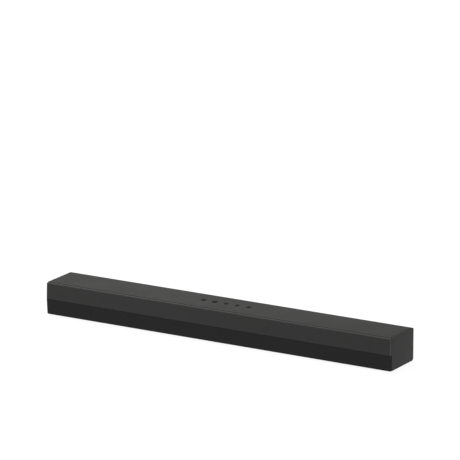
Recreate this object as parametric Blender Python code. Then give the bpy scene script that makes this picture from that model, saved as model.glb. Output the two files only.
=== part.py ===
"""A compact soundbar in its separate pieces: casing, cloth front, drivers, boards, sockets, keys and feet.

Metres, +Z up. The length lies along X, the front faces -Y, and the origin is on the ground under the middle.
"""

import math

import bmesh
import bpy
from mathutils import Vector

# Overall sizes.
LENGTH = 0.720
DEPTH = 0.087
TOP = 0.063  # the top face, above the ground
GROUND_GAP = 0.0022  # from the ground up to the underside
WALL = 0.0024
FIT = 0.0003  # the gap between pieces that touch

# The front: two cloths on a frame, leaning back from a crease.
FRONT_DEPTH = 0.0047
FRONT_DROP = 0.0003  # how much lower than the casing's top it is
CREASE_HEIGHT = 0.032
UPPER_LEAN = 0.0013
LOWER_LEAN = 0.0021
FRONT_RADIUS = 0.0025
CLOTH = 0.0006
FRAME_WALL = 0.0018
GRILLE_COLUMNS = 12
GRILLE_RIB = 0.0070
GRILLE_MARGIN = 0.0065
CREASE_RIB = 0.0080
TUCK_WIDTH = 0.0012
TUCK_DEPTH = 0.0010

# The casing behind the front.
TOP_BACK_RADIUS = 0.0045
BOTTOM_BACK_RADIUS = 0.0050
FRONT_CORNER = 0.0008
BACK_SEAM_MARGIN = 0.0075  # from the tray's wall up to the cover
BASE_SEAM_HEIGHT = 0.0080
CAP_THICKNESS = 0.0022
CAP_EDGE = 0.0004
SEAM = 0.0008  # the shadow gap beside an end cap and between the pieces of the back
FRONT_SEAM = 0.0016  # the one behind the front
CAP_LIP = 0.0060
CAP_LIP_WALL = 0.0016
BAFFLE_SETBACK = 0.0100
BAFFLE_THICKNESS = 0.0030
CHAMBER_CLEARANCE = 0.0230  # from a chamber's wall to its woofer's flange
CHAMBER_WALL = 0.0020

# The screws that hold the cover to the base.
SCREW_END_MARGIN = 0.0250
SCREW_FRONT_MARGIN = 0.0235
SCREW_REAR_MARGIN = 0.0135
SCREW_RADIUS = 0.0014
SCREW_LENGTH = 0.0160
SCREW_HEAD_RADIUS = 0.0028
SCREW_HEAD = 0.0020
POST_WALL = 0.0020
PAD_WALL = 0.0026
PAD_HEIGHT = 0.0050

# Feet.
FOOT_END_MARGIN = 0.0700
FOOT_SIDE_MARGIN = 0.0155
FOOT_RADIUS = 0.0050
FOOT_STRAIGHT = 0.0090
FOOT_SINK = 0.0008
FOOT_EDGE = 0.0005

# Wall fixing: threaded inserts in the back.
INSERT_INSET = 0.0450  # from a woofer's middle towards the tray
INSERT_HEIGHT = 0.031
INSERT_RADIUS = 0.0038
INSERT_LENGTH = 0.0100
THREAD_RADIUS = 0.0019
THREAD_DEPTH = 0.0080
BOSS_WALL = 0.0026
BOSS_LENGTH = 0.0120

# Keys, as (name, width along X, depth along Y).
KEYS = (
    ("power", 0.0080, 0.0095),
    ("source", 0.0092, 0.0100),
    ("volume_down", 0.0068, 0.0070),
    ("volume_up", 0.0068, 0.0075),
    ("pairing", 0.0072, 0.0090),
)
KEY_PITCH = 0.0237
KEY_ROW_X = -0.0030
KEY_ROW_Y = 0.0038
KEY_RISE = 0.0008
KEY_EDGE = 0.0004
KEY_FLANGE = 0.0012
KEY_FLANGE_LIP = 0.0012
KEY_TRAVEL = 0.0006
STEM_RADIUS = 0.0015
STEM_LENGTH = 0.0050
STEM_ENGAGED = 0.0010
SWITCH_SIDE = 0.0060
SWITCH_HEIGHT = 0.0035
BOARD = 0.0016
KEY_BOARD_DEPTH = 0.0200
KEY_BOARD_MARGIN = 0.0160

# The recess at the back and its sockets. The tray's rim covers the back from seam to seam.
RECESS_WIDTH = 0.138
RECESS_BOTTOM = 0.0135
RECESS_HEIGHT = 0.0230
RECESS_DEPTH = 0.0145
TRAY_WALL = 0.0020
TRAY_RIM = 0.0060
SOCKET_PROUD = 0.0005
MAIN_BOARD_HEIGHT = 0.0170
MAIN_BOARD_WIDTH = 0.190  # where the chambers leave room for it
BOARD_CLEARANCE = 0.0100  # from its ends to the chambers' walls, at least
BOARD_FRONT_GAP = 0.0072
STANDOFF_RADIUS = 0.0030
STANDOFF_INSET = 0.0070

# The oval woofers. Heights along a driver's axis count forwards from the baffle's front.
OVAL = 0.030  # half of the straight side
FLANGE_CLEARANCE = 0.0020  # from the flange to the casing, above and below
FLANGE_WIDTH = 0.0050
FLANGE_REACH = 0.0060  # how much longer its straight side is than the cone's, at each end
FLANGE = 0.0020
DRIVER_GAP = 0.0040  # between a woofer's flange and its tweeter's plate
SURROUND_WIDTH = 0.0054
BASKET_DEPTH = 0.0185
BASKET_WALL = 0.0015
CONE_DEPTH = 0.0110
CONE_WALL = 0.0009
CONE_FLARE = 0.0047  # how much wider than its coil the cone is
CAP_RISE = 0.0030
COIL_WALL = 0.0004
COIL_GAP = 0.0006
COIL_REACH = 0.0060  # how far the coil goes past the basket
MAGNET_RADIUS = 0.0200
MAGNET_THICKNESS = 0.0120
SPIDER_WIDTH = 0.0047
SPIDER_WAVES = 4

# The dome tweeters.
TWEETER_END_MARGIN = 0.0500
DOME_RADIUS = 0.0093
DOME_RISE = 0.0036
DOME_WALL = 0.0008
TWEETER_PLATE_RADIUS = 0.0190
TWEETER_BODY_RADIUS = 0.0140
TWEETER_DEPTH = 0.0160

# Sockets, as (name, x, width, height, length, mouth (width, height, depth), tongue (width, height, rise)).
# A tongue's rise is its middle's height over the mouth's middle.
SOCKETS = (
    ("optical_socket", -0.045, 0.0100, 0.0100, 0.0140, (0.0062, 0.0062, 0.0090), None),
    ("usb_socket", -0.015, 0.0144, 0.0070, 0.0140, (0.0126, 0.0052, 0.0110), (0.0110, 0.0018, 0.0010)),
    ("hdmi_socket", 0.017, 0.0152, 0.0062, 0.0120, (0.0140, 0.0046, 0.0090), (0.0110, 0.0010, 0.0)),
)
INLET_X = 0.047
INLET_SIDE = 0.0100
INLET_LENGTH = 0.0140
INLET_MOUTH = 0.0029
INLET_PIN = 0.0010
INLET_MOUTH_DEPTH = 0.0100

# On the main board.
HEAT_SINK_MARGIN = 0.0250  # from its middle to the board's end
HEAT_SINK_WIDTH = 0.032
HEAT_SINK_LENGTH = 0.026
HEAT_SINK_HEIGHT = 0.020
HEAT_SINK_BASE = 0.0030
FINS = 6
FIN = 0.0015
RADIO_MARGIN = 0.0230
RADIO_SIZE = (0.026, 0.016, 0.0035)

# Behind the upper cloth.
STATUS_WIDTH = 0.060
STATUS_HEIGHT = 0.0140
STATUS_DROP = 0.0090  # from the top face down to the board
RECEIVER_WIDTH = 0.0060
RECEIVER_DEPTH = 0.0040

# The wadding behind each woofer.
PAD_START = 0.0150  # along X, from the woofer's middle
PAD_LENGTH = 0.0600
PAD_FRONT_GAP = 0.0087
PAD_BACK_GAP = 0.0051
PAD_TOP_GAP = 0.0066
PAD_BOTTOM_GAP = 0.0054
PAD_EDGE = 0.004

HALF = LENGTH / 2
FRONT = -DEPTH / 2
BACK = DEPTH / 2
SEAM_Y = FRONT + FRONT_DEPTH
CASE_FRONT = SEAM_Y + FRONT_SEAM
CASE_HALF = HALF - CAP_THICKNESS - SEAM
FRONT_TOP = TOP - FRONT_DROP
INNER_TOP = TOP - WALL
INNER_BOTTOM = GROUND_GAP + WALL
INNER_BACK = BACK - WALL
BAFFLE_FRONT = FRONT + BAFFLE_SETBACK
BAFFLE_BACK = BAFFLE_FRONT + BAFFLE_THICKNESS
BAFFLE_HALF = CASE_HALF - CAP_LIP - FIT
DRIVER_HEIGHT = (GROUND_GAP + TOP) / 2
SCREW_X = HALF - SCREW_END_MARGIN
FOOT_X = HALF - FOOT_END_MARGIN
FOOT_Y = BACK - FOOT_SIDE_MARGIN
TRAY_FLOOR = BACK - RECESS_DEPTH
TRAY_HALF = RECESS_WIDTH / 2 + TRAY_WALL
BACK_SEAM_HEIGHT = RECESS_BOTTOM + RECESS_HEIGHT + TRAY_WALL + BACK_SEAM_MARGIN
FLANGE_RADIUS = (INNER_TOP - INNER_BOTTOM) / 2 - FLANGE_CLEARANCE
FLANGE_STRAIGHT = OVAL + FLANGE_REACH
CONE_RADIUS = FLANGE_RADIUS - FLANGE_WIDTH - SURROUND_WIDTH - 2 * FIT
COIL_RADIUS = CONE_RADIUS - CONE_FLARE
SPIDER_RADIUS = COIL_RADIUS + SPIDER_WIDTH
COIL_END = -BASKET_DEPTH - COIL_REACH
TWEETER_X = HALF - TWEETER_END_MARGIN
WOOFER_X = TWEETER_X - TWEETER_PLATE_RADIUS - DRIVER_GAP - FLANGE_STRAIGHT - FLANGE_RADIUS
INSERT_X = WOOFER_X - INSERT_INSET
CHAMBER_WALL_X = WOOFER_X - FLANGE_STRAIGHT - FLANGE_RADIUS - CHAMBER_CLEARANCE
BOARD_HALF = min(MAIN_BOARD_WIDTH / 2, CHAMBER_WALL_X - CHAMBER_WALL / 2 - BOARD_CLEARANCE)
STATUS_HIGH = TOP - STATUS_DROP
STATUS_LOW = STATUS_HIGH - STATUS_HEIGHT
ROUNDING = min(FRONT_RADIUS, FRONT_DEPTH - max(UPPER_LEAN, LOWER_LEAN) - FIT / 3)
FRAME_HOLE = CONE_RADIUS + SURROUND_WIDTH + 2 * FIT
WOOFER_HOLE_RADIUS = FRAME_HOLE + BASKET_WALL + 2 * FIT
KEY_BOARD_TOP = INNER_TOP - FIT - KEY_FLANGE - STEM_LENGTH - SWITCH_HEIGHT + STEM_ENGAGED - FIT
SIDES = 24
SMALL_SIDES = 12
FACING_FRONT = (math.pi / 2, 0, 0)
FACING_BACK = (-math.pi / 2, 0, 0)


def clear_scene():
    for old in list(bpy.data.objects):
        bpy.data.objects.remove(old)


def material(name, colour, roughness, metallic=0.0):
    made = bpy.data.materials.new(name)
    made.use_nodes = True
    shader = made.node_tree.nodes["Principled BSDF"]
    shader.inputs["Base Color"].default_value = (*colour, 1)
    shader.inputs["Roughness"].default_value = roughness
    shader.inputs["Metallic"].default_value = metallic
    return made


def add_object(name, form, finish, at=(0, 0, 0), turn=(0, 0, 0)):
    """Makes a named object of a bmesh, with its faces pointing out."""
    bmesh.ops.recalc_face_normals(form, faces=form.faces)
    mesh = bpy.data.meshes.new(name)
    form.to_mesh(mesh)
    form.free()
    made = bpy.data.objects.new(name, mesh)
    made.location = at
    made.rotation_euler = turn
    if finish:
        mesh.materials.append(finish)
        mesh.shade_smooth()
        mesh.set_sharp_from_angle(angle=math.radians(35))
    else:
        made.hide_render = True
        made.display_type = "WIRE"
    bpy.context.collection.objects.link(made)
    return made


def combine(made, helper, operation):
    step = made.modifiers.new(helper.name, "BOOLEAN")
    step.operation = operation
    step.solver = "EXACT"
    step.object = helper


def cut(made, helper):
    combine(made, helper, "DIFFERENCE")


def unite(made, helper):
    combine(made, helper, "UNION")


def add_box(form, low, high):
    middle = (Vector(low) + Vector(high)) / 2
    size = Vector(high) - Vector(low)
    corners = bmesh.ops.create_cube(form, size=1)["verts"]
    for corner in corners:
        corner.co = Vector(a * b for a, b in zip(corner.co, size)) + middle
    return corners


def block(name, low, high, finish=None, edge=0.0):
    """A block between two corners in the part's frame, with its origin at its middle."""
    middle = (Vector(low) + Vector(high)) / 2
    form = bmesh.new()
    add_box(form, Vector(low) - middle, Vector(high) - middle)
    if edge:
        bmesh.ops.bevel(form, geom=form.edges[:], offset=edge, segments=2, profile=0.5, affect="EDGES")
    return add_object(name, form, finish, middle)


def blocks(name, pairs):
    """Several separate blocks in one hidden helper."""
    form = bmesh.new()
    for low, high in pairs:
        add_box(form, low, high)
    return add_object(name, form, None)


def ring_points(straight, radius, height, sides):
    """A circle drawn out along X by a straight run on each side; straight is half of that run."""
    for side in range(sides):
        angle = 2 * math.pi * (side + 0.5) / sides
        x = radius * math.cos(angle) + math.copysign(straight, math.cos(angle))
        yield (x, radius * math.sin(angle), height)


def loft(name, rings, finish=None, at=(0, 0, 0), turn=(0, 0, 0), closed=False, sides=SIDES):
    """Joins rings of (straight, radius, height). A closed loft joins its last ring to its first."""
    form = bmesh.new()
    loops = [[form.verts.new(point) for point in ring_points(*ring, sides)] for ring in rings]
    pairs = list(zip(loops, loops[1:]))
    if closed:
        pairs.append((loops[-1], loops[0]))
    else:
        form.faces.new(loops[0])
        form.faces.new(loops[-1])
    for low, high in pairs:
        for side in range(sides):
            after = (side + 1) % sides
            form.faces.new((low[side], low[after], high[after], high[side]))
    return add_object(name, form, finish, at, turn)


def turned(name, profile, finish=None, at=(0, 0, 0), turn=(0, 0, 0), closed=False, sides=SIDES):
    """A loft of plain circles, from a profile of (radius, height)."""
    return loft(name, [(0, radius, height) for radius, height in profile], finish, at, turn, closed, sides)


def small_turned(name, profile, finish=None, at=(0, 0, 0), turn=(0, 0, 0)):
    """The same with fewer sides, for screws, posts and other thin pieces."""
    return turned(name, profile, finish, at, turn, sides=SMALL_SIDES)


def rounded_outline(corners, steps=4):
    """An outline in the Y-Z plane, from corners of (y, z, radius)."""
    points = []
    for index, (y, z, radius) in enumerate(corners):
        here = Vector((y, z))
        before = (Vector(corners[index - 1][:2]) - here).normalized()
        after = (Vector(corners[(index + 1) % len(corners)][:2]) - here).normalized()
        if not radius:
            points.append(here)
            continue
        half_angle = before.angle(after) / 2
        centre = here + (before + after).normalized() * radius / math.sin(half_angle)
        reach = radius / math.tan(half_angle)
        start = (here + before * reach - centre).normalized()
        end = (here + after * reach - centre).normalized()
        points += [centre + start.slerp(end, step / steps) * radius for step in range(steps + 1)]
    return points


def extruded_form(outline, low_x, high_x):
    form = bmesh.new()
    face = form.faces.new([form.verts.new((low_x, y, z)) for y, z in outline])
    moved = bmesh.ops.extrude_face_region(form, geom=[face])["geom"]
    for corner in moved:
        if isinstance(corner, bmesh.types.BMVert):
            corner.co.x = high_x
    return form


def front_form(inset, back):
    """The rounded form of the front, set in from its outside on every side and running back to a given Y."""
    half, low, high, face = HALF - inset, GROUND_GAP + inset, FRONT_TOP - inset, FRONT + inset
    crease = (face, CREASE_HEIGHT)
    outline = [(back, high), (face + UPPER_LEAN, high), crease, (face + LOWER_LEAN, low), (back, low)]
    form = extruded_form(outline, -half, half)
    edges = [e for e in form.edges if is_front_edge(e, back)]
    if ROUNDING > inset:
        bmesh.ops.bevel(form, geom=edges, offset=ROUNDING - inset, segments=4, profile=0.5, affect="EDGES")
    return form


def is_front_edge(edge, back):
    """True for the edges round the front and those of its four corners, but not for the crease."""
    ends = [corner.co for corner in edge.verts]
    if all(abs(end.y - back) < FIT for end in ends):
        return False
    on_one_end = abs(ends[0].x - ends[1].x) < FIT
    return on_one_end or all(abs(end.z - CREASE_HEIGHT) > FIT for end in ends)


def make_cloth(name, finish, keep_low, keep_high):
    cloth = add_object(name, front_form(0, SEAM_Y), finish)
    cut(cloth, add_object(name + "_inside", front_form(CLOTH, SEAM_Y + WALL), None))
    low = (-LENGTH, -DEPTH, -TOP)
    high = (LENGTH, DEPTH, 2 * TOP)
    sides = [(low, (LENGTH, DEPTH, keep_low)), ((-LENGTH, -DEPTH, keep_high), high)]
    cut(cloth, blocks(name + "_ends", sides))


def make_cloths(upper_finish, lower_finish):
    make_cloth("grille_cloth_upper", upper_finish, CREASE_HEIGHT + FIT / 2, TOP + WALL)
    make_cloth("grille_cloth_lower", lower_finish, -WALL, CREASE_HEIGHT - FIT / 2)


def grille_windows():
    """The windows of the frame: a row above the crease and a row below it."""
    clear = LENGTH - 2 * GRILLE_MARGIN
    width = (clear - (GRILLE_COLUMNS - 1) * GRILLE_RIB) / GRILLE_COLUMNS
    rows = (
        (CREASE_HEIGHT + CREASE_RIB / 2, FRONT_TOP - GRILLE_MARGIN),
        (GROUND_GAP + GRILLE_MARGIN, CREASE_HEIGHT - CREASE_RIB / 2),
    )
    for column in range(GRILLE_COLUMNS):
        left = -clear / 2 + column * (width + GRILLE_RIB)
        for low, high in rows:
            yield (left, FRONT - WALL, low), (left + width, SEAM_Y + WALL, high)


def make_grille_frame(finish):
    inset = CLOTH + FIT
    frame = add_object("grille_frame", front_form(inset, SEAM_Y), finish)
    cut(frame, add_object("grille_frame_inside", front_form(inset + FRAME_WALL, SEAM_Y + WALL), None))
    cut(frame, blocks("grille_frame_windows", grille_windows()))
    deep = FRONT + inset + TUCK_DEPTH
    low, high = CREASE_HEIGHT - TUCK_WIDTH / 2, CREASE_HEIGHT + TUCK_WIDTH / 2
    cut(frame, blocks("grille_frame_tuck", [((-HALF, FRONT - WALL, low), (HALF, deep, high))]))


def key_places():
    first = KEY_ROW_X - KEY_PITCH * (len(KEYS) - 1) / 2
    for index, (name, width, depth) in enumerate(KEYS):
        yield name, width, depth, first + index * KEY_PITCH


def screw_places():
    rows = (FRONT + SCREW_FRONT_MARGIN, BACK - SCREW_REAR_MARGIN)
    return [(x, y) for x in (-SCREW_X, SCREW_X) for y in rows]


def make_top_cover(finish):
    """The top and the upper part of the back, with the keys' holes and the posts that the screws hold."""
    outline = rounded_outline(
        (
            (CASE_FRONT, TOP, FRONT_CORNER),
            (BACK, TOP, TOP_BACK_RADIUS),
            (BACK, BACK_SEAM_HEIGHT, 0),
            (INNER_BACK, BACK_SEAM_HEIGHT, 0),
            (INNER_BACK, INNER_TOP, 0),
            (CASE_FRONT, INNER_TOP, 0),
        )
    )
    cover = add_object("top_cover", extruded_form(outline, -CASE_HALF, CASE_HALF), finish)
    top = TOP - WALL / 2
    bottom = INNER_BOTTOM + PAD_HEIGHT + FIT
    bore = bottom + SCREW_LENGTH
    radius = SCREW_RADIUS + FIT + POST_WALL
    for index, (x, y) in enumerate(screw_places()):
        unite(cover, small_turned(f"cover_post_{index}", [(radius, bottom), (radius, top)], at=(x, y, 0)))
        inner = SCREW_RADIUS + FIT
        cut(cover, small_turned(f"cover_bore_{index}", [(inner, bottom - WALL), (inner, bore)], at=(x, y, 0)))
    for name, width, depth, x in key_places():
        half = (width / 2 + FIT, depth / 2 + FIT)
        low = (x - half[0], KEY_ROW_Y - half[1], INNER_TOP - WALL)
        high = (x + half[0], KEY_ROW_Y + half[1], TOP + WALL)
        cut(cover, block("hole_" + name, low, high))


def foot_places():
    for side, x in (("left", -FOOT_X), ("right", FOOT_X)):
        for end, y in (("front", -FOOT_Y), ("rear", FOOT_Y)):
            yield f"foot_{end}_{side}", (x, y, 0)


def make_feet(finish):
    top = GROUND_GAP + FOOT_SINK
    small = FOOT_RADIUS - FOOT_EDGE
    profile = ((small, 0), (FOOT_RADIUS, FOOT_EDGE), (FOOT_RADIUS, top))
    rings = [(FOOT_STRAIGHT, radius, height) for radius, height in profile]
    for name, place in foot_places():
        loft(name, rings, finish, place)


def insert_places():
    return (("left", -INSERT_X), ("right", INSERT_X))


def make_base_shell(finish):
    """The underside, turned up at the back, with the screws' pads and the main board's posts."""
    outline = rounded_outline(
        (
            (CASE_FRONT, GROUND_GAP, FRONT_CORNER),
            (BACK, GROUND_GAP, BOTTOM_BACK_RADIUS),
            (BACK, BASE_SEAM_HEIGHT, 0),
            (INNER_BACK, BASE_SEAM_HEIGHT, 0),
            (INNER_BACK, INNER_BOTTOM, BOTTOM_BACK_RADIUS - WALL),
            (CASE_FRONT, INNER_BOTTOM, 0),
        )
    )
    base = add_object("base_shell", extruded_form(outline, -CASE_HALF, CASE_HALF), finish)
    add_screw_pads(base)
    add_standoffs(base)
    cut_foot_recesses(base)


def make_rear_panel(side, direction, finish):
    """The flat back beside the connector tray, between the base and the cover, with its insert's boss."""
    ends = sorted((direction * (TRAY_HALF + TRAY_RIM + SEAM), direction * CASE_HALF))
    low = (ends[0], INNER_BACK, BASE_SEAM_HEIGHT + SEAM)
    panel = block("rear_panel_" + side, low, (ends[1], BACK, BACK_SEAM_HEIGHT - SEAM), finish)
    outside = INSERT_RADIUS + FIT + BOSS_WALL
    inside = INSERT_RADIUS + FIT
    place = (direction * INSERT_X, BACK, INSERT_HEIGHT)
    boss = [(outside, -BOSS_LENGTH), (outside, -WALL / 2)]
    bore = [(inside, -INSERT_LENGTH - 2 * FIT), (inside, WALL)]
    unite(panel, small_turned("boss_" + side, boss, at=place, turn=FACING_BACK))
    cut(panel, small_turned("boss_bore_" + side, bore, at=place, turn=FACING_BACK))


def add_screw_pads(base):
    head = SCREW_HEAD_RADIUS + FIT
    hole = SCREW_RADIUS + FIT
    sunk = GROUND_GAP + SCREW_HEAD + FIT
    top = INNER_BOTTOM + PAD_HEIGHT
    for index, (x, y) in enumerate(screw_places()):
        outside = head + PAD_WALL
        pad = small_turned(f"pad_{index}", [(outside, INNER_BOTTOM - WALL / 2), (outside, top)], at=(x, y, 0))
        unite(base, pad)
        bore = [(head, -GROUND_GAP), (head, sunk), (hole, sunk), (hole, top + WALL)]
        cut(base, small_turned(f"pad_bore_{index}", bore, at=(x, y, 0)))


def standoff_places():
    x = BOARD_HALF - STANDOFF_INSET
    front, rear = board_span()
    return [(s * x, y) for s in (-1, 1) for y in (front + STANDOFF_INSET, rear - STANDOFF_INSET)]


def board_span():
    return BAFFLE_BACK + BOARD_FRONT_GAP, TRAY_FLOOR - TRAY_WALL - FIT


def add_standoffs(base):
    span = [(STANDOFF_RADIUS, INNER_BOTTOM - WALL / 2), (STANDOFF_RADIUS, MAIN_BOARD_HEIGHT - FIT)]
    for index, (x, y) in enumerate(standoff_places()):
        unite(base, small_turned(f"standoff_{index}", span, at=(x, y, 0)))


def cut_foot_recesses(base):
    radius = FOOT_RADIUS + FIT
    top = GROUND_GAP + FOOT_SINK + FIT
    for name, place in foot_places():
        rings = [(FOOT_STRAIGHT, radius, -GROUND_GAP), (FOOT_STRAIGHT, radius, top)]
        cut(base, loft("recess_" + name, rings, at=place))


def make_wall_inserts(finish):
    profile = (
        (THREAD_RADIUS, -THREAD_DEPTH),
        (THREAD_RADIUS, 0),
        (INSERT_RADIUS, 0),
        (INSERT_RADIUS, -INSERT_LENGTH),
    )
    for side, x in insert_places():
        place = (x, BACK - FIT, INSERT_HEIGHT)
        small_turned("wall_insert_" + side, profile, finish, place, FACING_BACK)


def make_screws(finish):
    low = GROUND_GAP + FIT / 2
    profile = (
        (SCREW_HEAD_RADIUS, 0),
        (SCREW_HEAD_RADIUS, SCREW_HEAD),
        (SCREW_RADIUS, SCREW_HEAD),
        (SCREW_RADIUS, SCREW_LENGTH),
    )
    for index, (x, y) in enumerate(screw_places()):
        small_turned(f"housing_screw_{index + 1}", profile, finish, (x, y, low))


def make_end_cap(side, direction, finish):
    """A flat cheek with a lip that goes into the casing."""
    outline = rounded_outline(
        (
            (CASE_FRONT, GROUND_GAP, FRONT_CORNER),
            (BACK, GROUND_GAP, BOTTOM_BACK_RADIUS),
            (BACK, TOP, TOP_BACK_RADIUS),
            (CASE_FRONT, TOP, FRONT_CORNER),
        )
    )
    form = extruded_form(outline, direction * (HALF - CAP_THICKNESS), direction * HALF)
    outer = [e for e in form.edges if all(abs(abs(v.co.x) - HALF) < FIT for v in e.verts)]
    bmesh.ops.bevel(form, geom=outer, offset=CAP_EDGE, segments=2, profile=0.5, affect="EDGES")
    cap = add_object("end_cap_" + side, form, finish)
    reach = direction * (CASE_HALF - CAP_LIP)
    root = direction * (HALF - CAP_THICKNESS / 2)
    unite(cap, add_object("lip_" + side, extruded_form(lip_outline(0), root, reach), None))
    pocket = (reach - direction * WALL, direction * (HALF - CAP_THICKNESS))
    cut(cap, add_object("lip_pocket_" + side, extruded_form(lip_outline(CAP_LIP_WALL), *pocket), None))


def lip_outline(inset):
    gap = FIT + inset
    radius = TOP_BACK_RADIUS
    return rounded_outline(
        (
            (CASE_FRONT + gap, INNER_BOTTOM + gap, 0),
            (INNER_BACK - gap, INNER_BOTTOM + gap, radius),
            (INNER_BACK - gap, INNER_TOP - gap, radius),
            (CASE_FRONT + gap, INNER_TOP - gap, 0),
        )
    )


def make_front_baffle(finish):
    low = (-BAFFLE_HALF, BAFFLE_FRONT, INNER_BOTTOM + FIT)
    high = (BAFFLE_HALF, BAFFLE_BACK, INNER_TOP - FIT)
    baffle = block("front_baffle", low, high, finish)
    for side in (-1, 1):
        oval = [(OVAL, WOOFER_HOLE_RADIUS, depth) for depth in (-2 * BAFFLE_THICKNESS, BAFFLE_THICKNESS)]
        place = (side * WOOFER_X, BAFFLE_FRONT, DRIVER_HEIGHT)
        cut(baffle, loft(f"woofer_hole_{side}", oval, at=place, turn=FACING_FRONT))
        radius = TWEETER_BODY_RADIUS + 2 * FIT
        span = [(radius, -2 * BAFFLE_THICKNESS), (radius, BAFFLE_THICKNESS)]
        place = (side * TWEETER_X, BAFFLE_FRONT, DRIVER_HEIGHT)
        cut(baffle, turned(f"tweeter_hole_{side}", span, at=place, turn=FACING_FRONT))


def make_chamber_walls(finish):
    """The partitions between the drivers' closed chambers and the electronics."""
    for side, direction in (("left", -1), ("right", 1)):
        x = direction * CHAMBER_WALL_X
        low = (x - CHAMBER_WALL / 2, BAFFLE_BACK + FIT, INNER_BOTTOM + FIT)
        high = (x + CHAMBER_WALL / 2, INNER_BACK - FIT, INNER_TOP - FIT)
        wall = block("chamber_wall_" + side, low, high, finish)
        corner = INNER_BACK - BOTTOM_BACK_RADIUS, INNER_BOTTOM + BOTTOM_BACK_RADIUS
        notch_low = (x - CHAMBER_WALL, corner[0], 0)
        notch_high = (x + CHAMBER_WALL, BACK, corner[1])
        cut(wall, block("wall_notch_" + side, notch_low, notch_high))


def make_keys(finish):
    """Each key has a cap above the cover, a flange that holds it in, and a stem that ends in its switch."""
    flange_top = INNER_TOP - FIT
    flange_low = flange_top - KEY_FLANGE
    for name, width, depth, x in key_places():
        place = Vector((x, KEY_ROW_Y, TOP))
        form = bmesh.new()
        bottom = flange_low - TOP + KEY_FLANGE / 2
        add_box(form, (-width / 2, -depth / 2, bottom), (width / 2, depth / 2, KEY_RISE))
        upright = [e for e in form.edges if abs(e.verts[0].co.z - e.verts[1].co.z) > FIT]
        corner = min(width, depth) / 3
        bmesh.ops.bevel(form, geom=upright, offset=corner, segments=3, profile=0.5, affect="EDGES")
        high = [e for e in form.edges if all(v.co.z > KEY_RISE - FIT / 2 for v in e.verts)]
        bmesh.ops.bevel(form, geom=high, offset=KEY_EDGE, segments=2, profile=0.5, affect="EDGES")
        key = add_object("key_" + name, form, finish, place)
        half = Vector((width / 2 + KEY_FLANGE_LIP, depth / 2 + KEY_FLANGE_LIP))
        low = (x - half.x, KEY_ROW_Y - half.y, flange_low)
        unite(key, block("flange_" + name, low, (x + half.x, KEY_ROW_Y + half.y, flange_top)))
        stem = [(STEM_RADIUS, flange_low - STEM_LENGTH), (STEM_RADIUS, flange_low + KEY_FLANGE / 2)]
        unite(key, small_turned("stem_" + name, stem, at=(x, KEY_ROW_Y, 0)))


def make_switches(finish):
    """Each switch has a well that its key's stem travels in."""
    low = KEY_BOARD_TOP
    for name, _, _, x in key_places():
        half = SWITCH_SIDE / 2
        corner = (x - half, KEY_ROW_Y - half, low + FIT)
        opposite = (x + half, KEY_ROW_Y + half, low + FIT + SWITCH_HEIGHT)
        switch = block("switch_" + name, corner, opposite, finish)
        well = STEM_RADIUS + FIT
        bottom = low + FIT + SWITCH_HEIGHT - STEM_ENGAGED - KEY_TRAVEL - 2 * FIT
        cut(switch, small_turned("well_" + name, [(well, bottom), (well, TOP)], at=(x, KEY_ROW_Y, 0)))


def make_key_board(finish):
    half = KEY_PITCH * (len(KEYS) - 1) / 2 + KEY_BOARD_MARGIN
    low = (KEY_ROW_X - half, KEY_ROW_Y - KEY_BOARD_DEPTH / 2, KEY_BOARD_TOP - BOARD)
    high = (KEY_ROW_X + half, KEY_ROW_Y + KEY_BOARD_DEPTH / 2, KEY_BOARD_TOP)
    block("key_board", low, high, finish)




def socket_bottom():
    return MAIN_BOARD_HEIGHT + BOARD + FIT


def make_connector_tray(finish):
    """A deep tray behind the sockets, with a rim that fills the back between the two rear panels."""
    low = (-TRAY_HALF, TRAY_FLOOR - TRAY_WALL, RECESS_BOTTOM - TRAY_WALL)
    high = (TRAY_HALF, INNER_BACK + WALL / 2, RECESS_BOTTOM + RECESS_HEIGHT + TRAY_WALL)
    rim = TRAY_HALF + TRAY_RIM
    rim_low = (-rim, INNER_BACK, BASE_SEAM_HEIGHT + SEAM)
    tray = block("connector_tray", rim_low, (rim, BACK, BACK_SEAM_HEIGHT - SEAM), finish)
    unite(tray, block("tray_walls", low, high))
    half = RECESS_WIDTH / 2
    top = RECESS_BOTTOM + RECESS_HEIGHT
    cut(tray, block("tray_pocket", (-half, TRAY_FLOOR, RECESS_BOTTOM), (half, BACK + WALL, top)))
    bottom = socket_bottom()
    for name, x, width, height, *_ in SOCKETS:
        hole_low = (x - width / 2 - FIT, TRAY_FLOOR - 2 * TRAY_WALL, bottom - FIT)
        hole_high = (x + width / 2 + FIT, TRAY_FLOOR + TRAY_WALL, bottom + height + FIT)
        cut(tray, block("hole_for_" + name, hole_low, hole_high))


def make_sockets(finish):
    mouth_y = TRAY_FLOOR + SOCKET_PROUD
    bottom = socket_bottom()
    for name, x, width, height, length, mouth, tongue in SOCKETS:
        low = (x - width / 2, mouth_y - length, bottom)
        socket = block(name, low, (x + width / 2, mouth_y, bottom + height), finish)
        middle = bottom + height / 2
        end = mouth_y - mouth[2]
        mouth_low = (x - mouth[0] / 2, end, middle - mouth[1] / 2)
        mouth_high = (x + mouth[0] / 2, mouth_y + FIT, middle + mouth[1] / 2)
        cut(socket, block("mouth_" + name, mouth_low, mouth_high))
        if tongue:
            wide, thick, rise = tongue
            tongue_low = (x - wide / 2, end - FIT, middle + rise - thick / 2)
            tongue_high = (x + wide / 2, mouth_y - FRAME_WALL, middle + rise + thick / 2)
            unite(socket, block("tongue_" + name, tongue_low, tongue_high))


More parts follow.
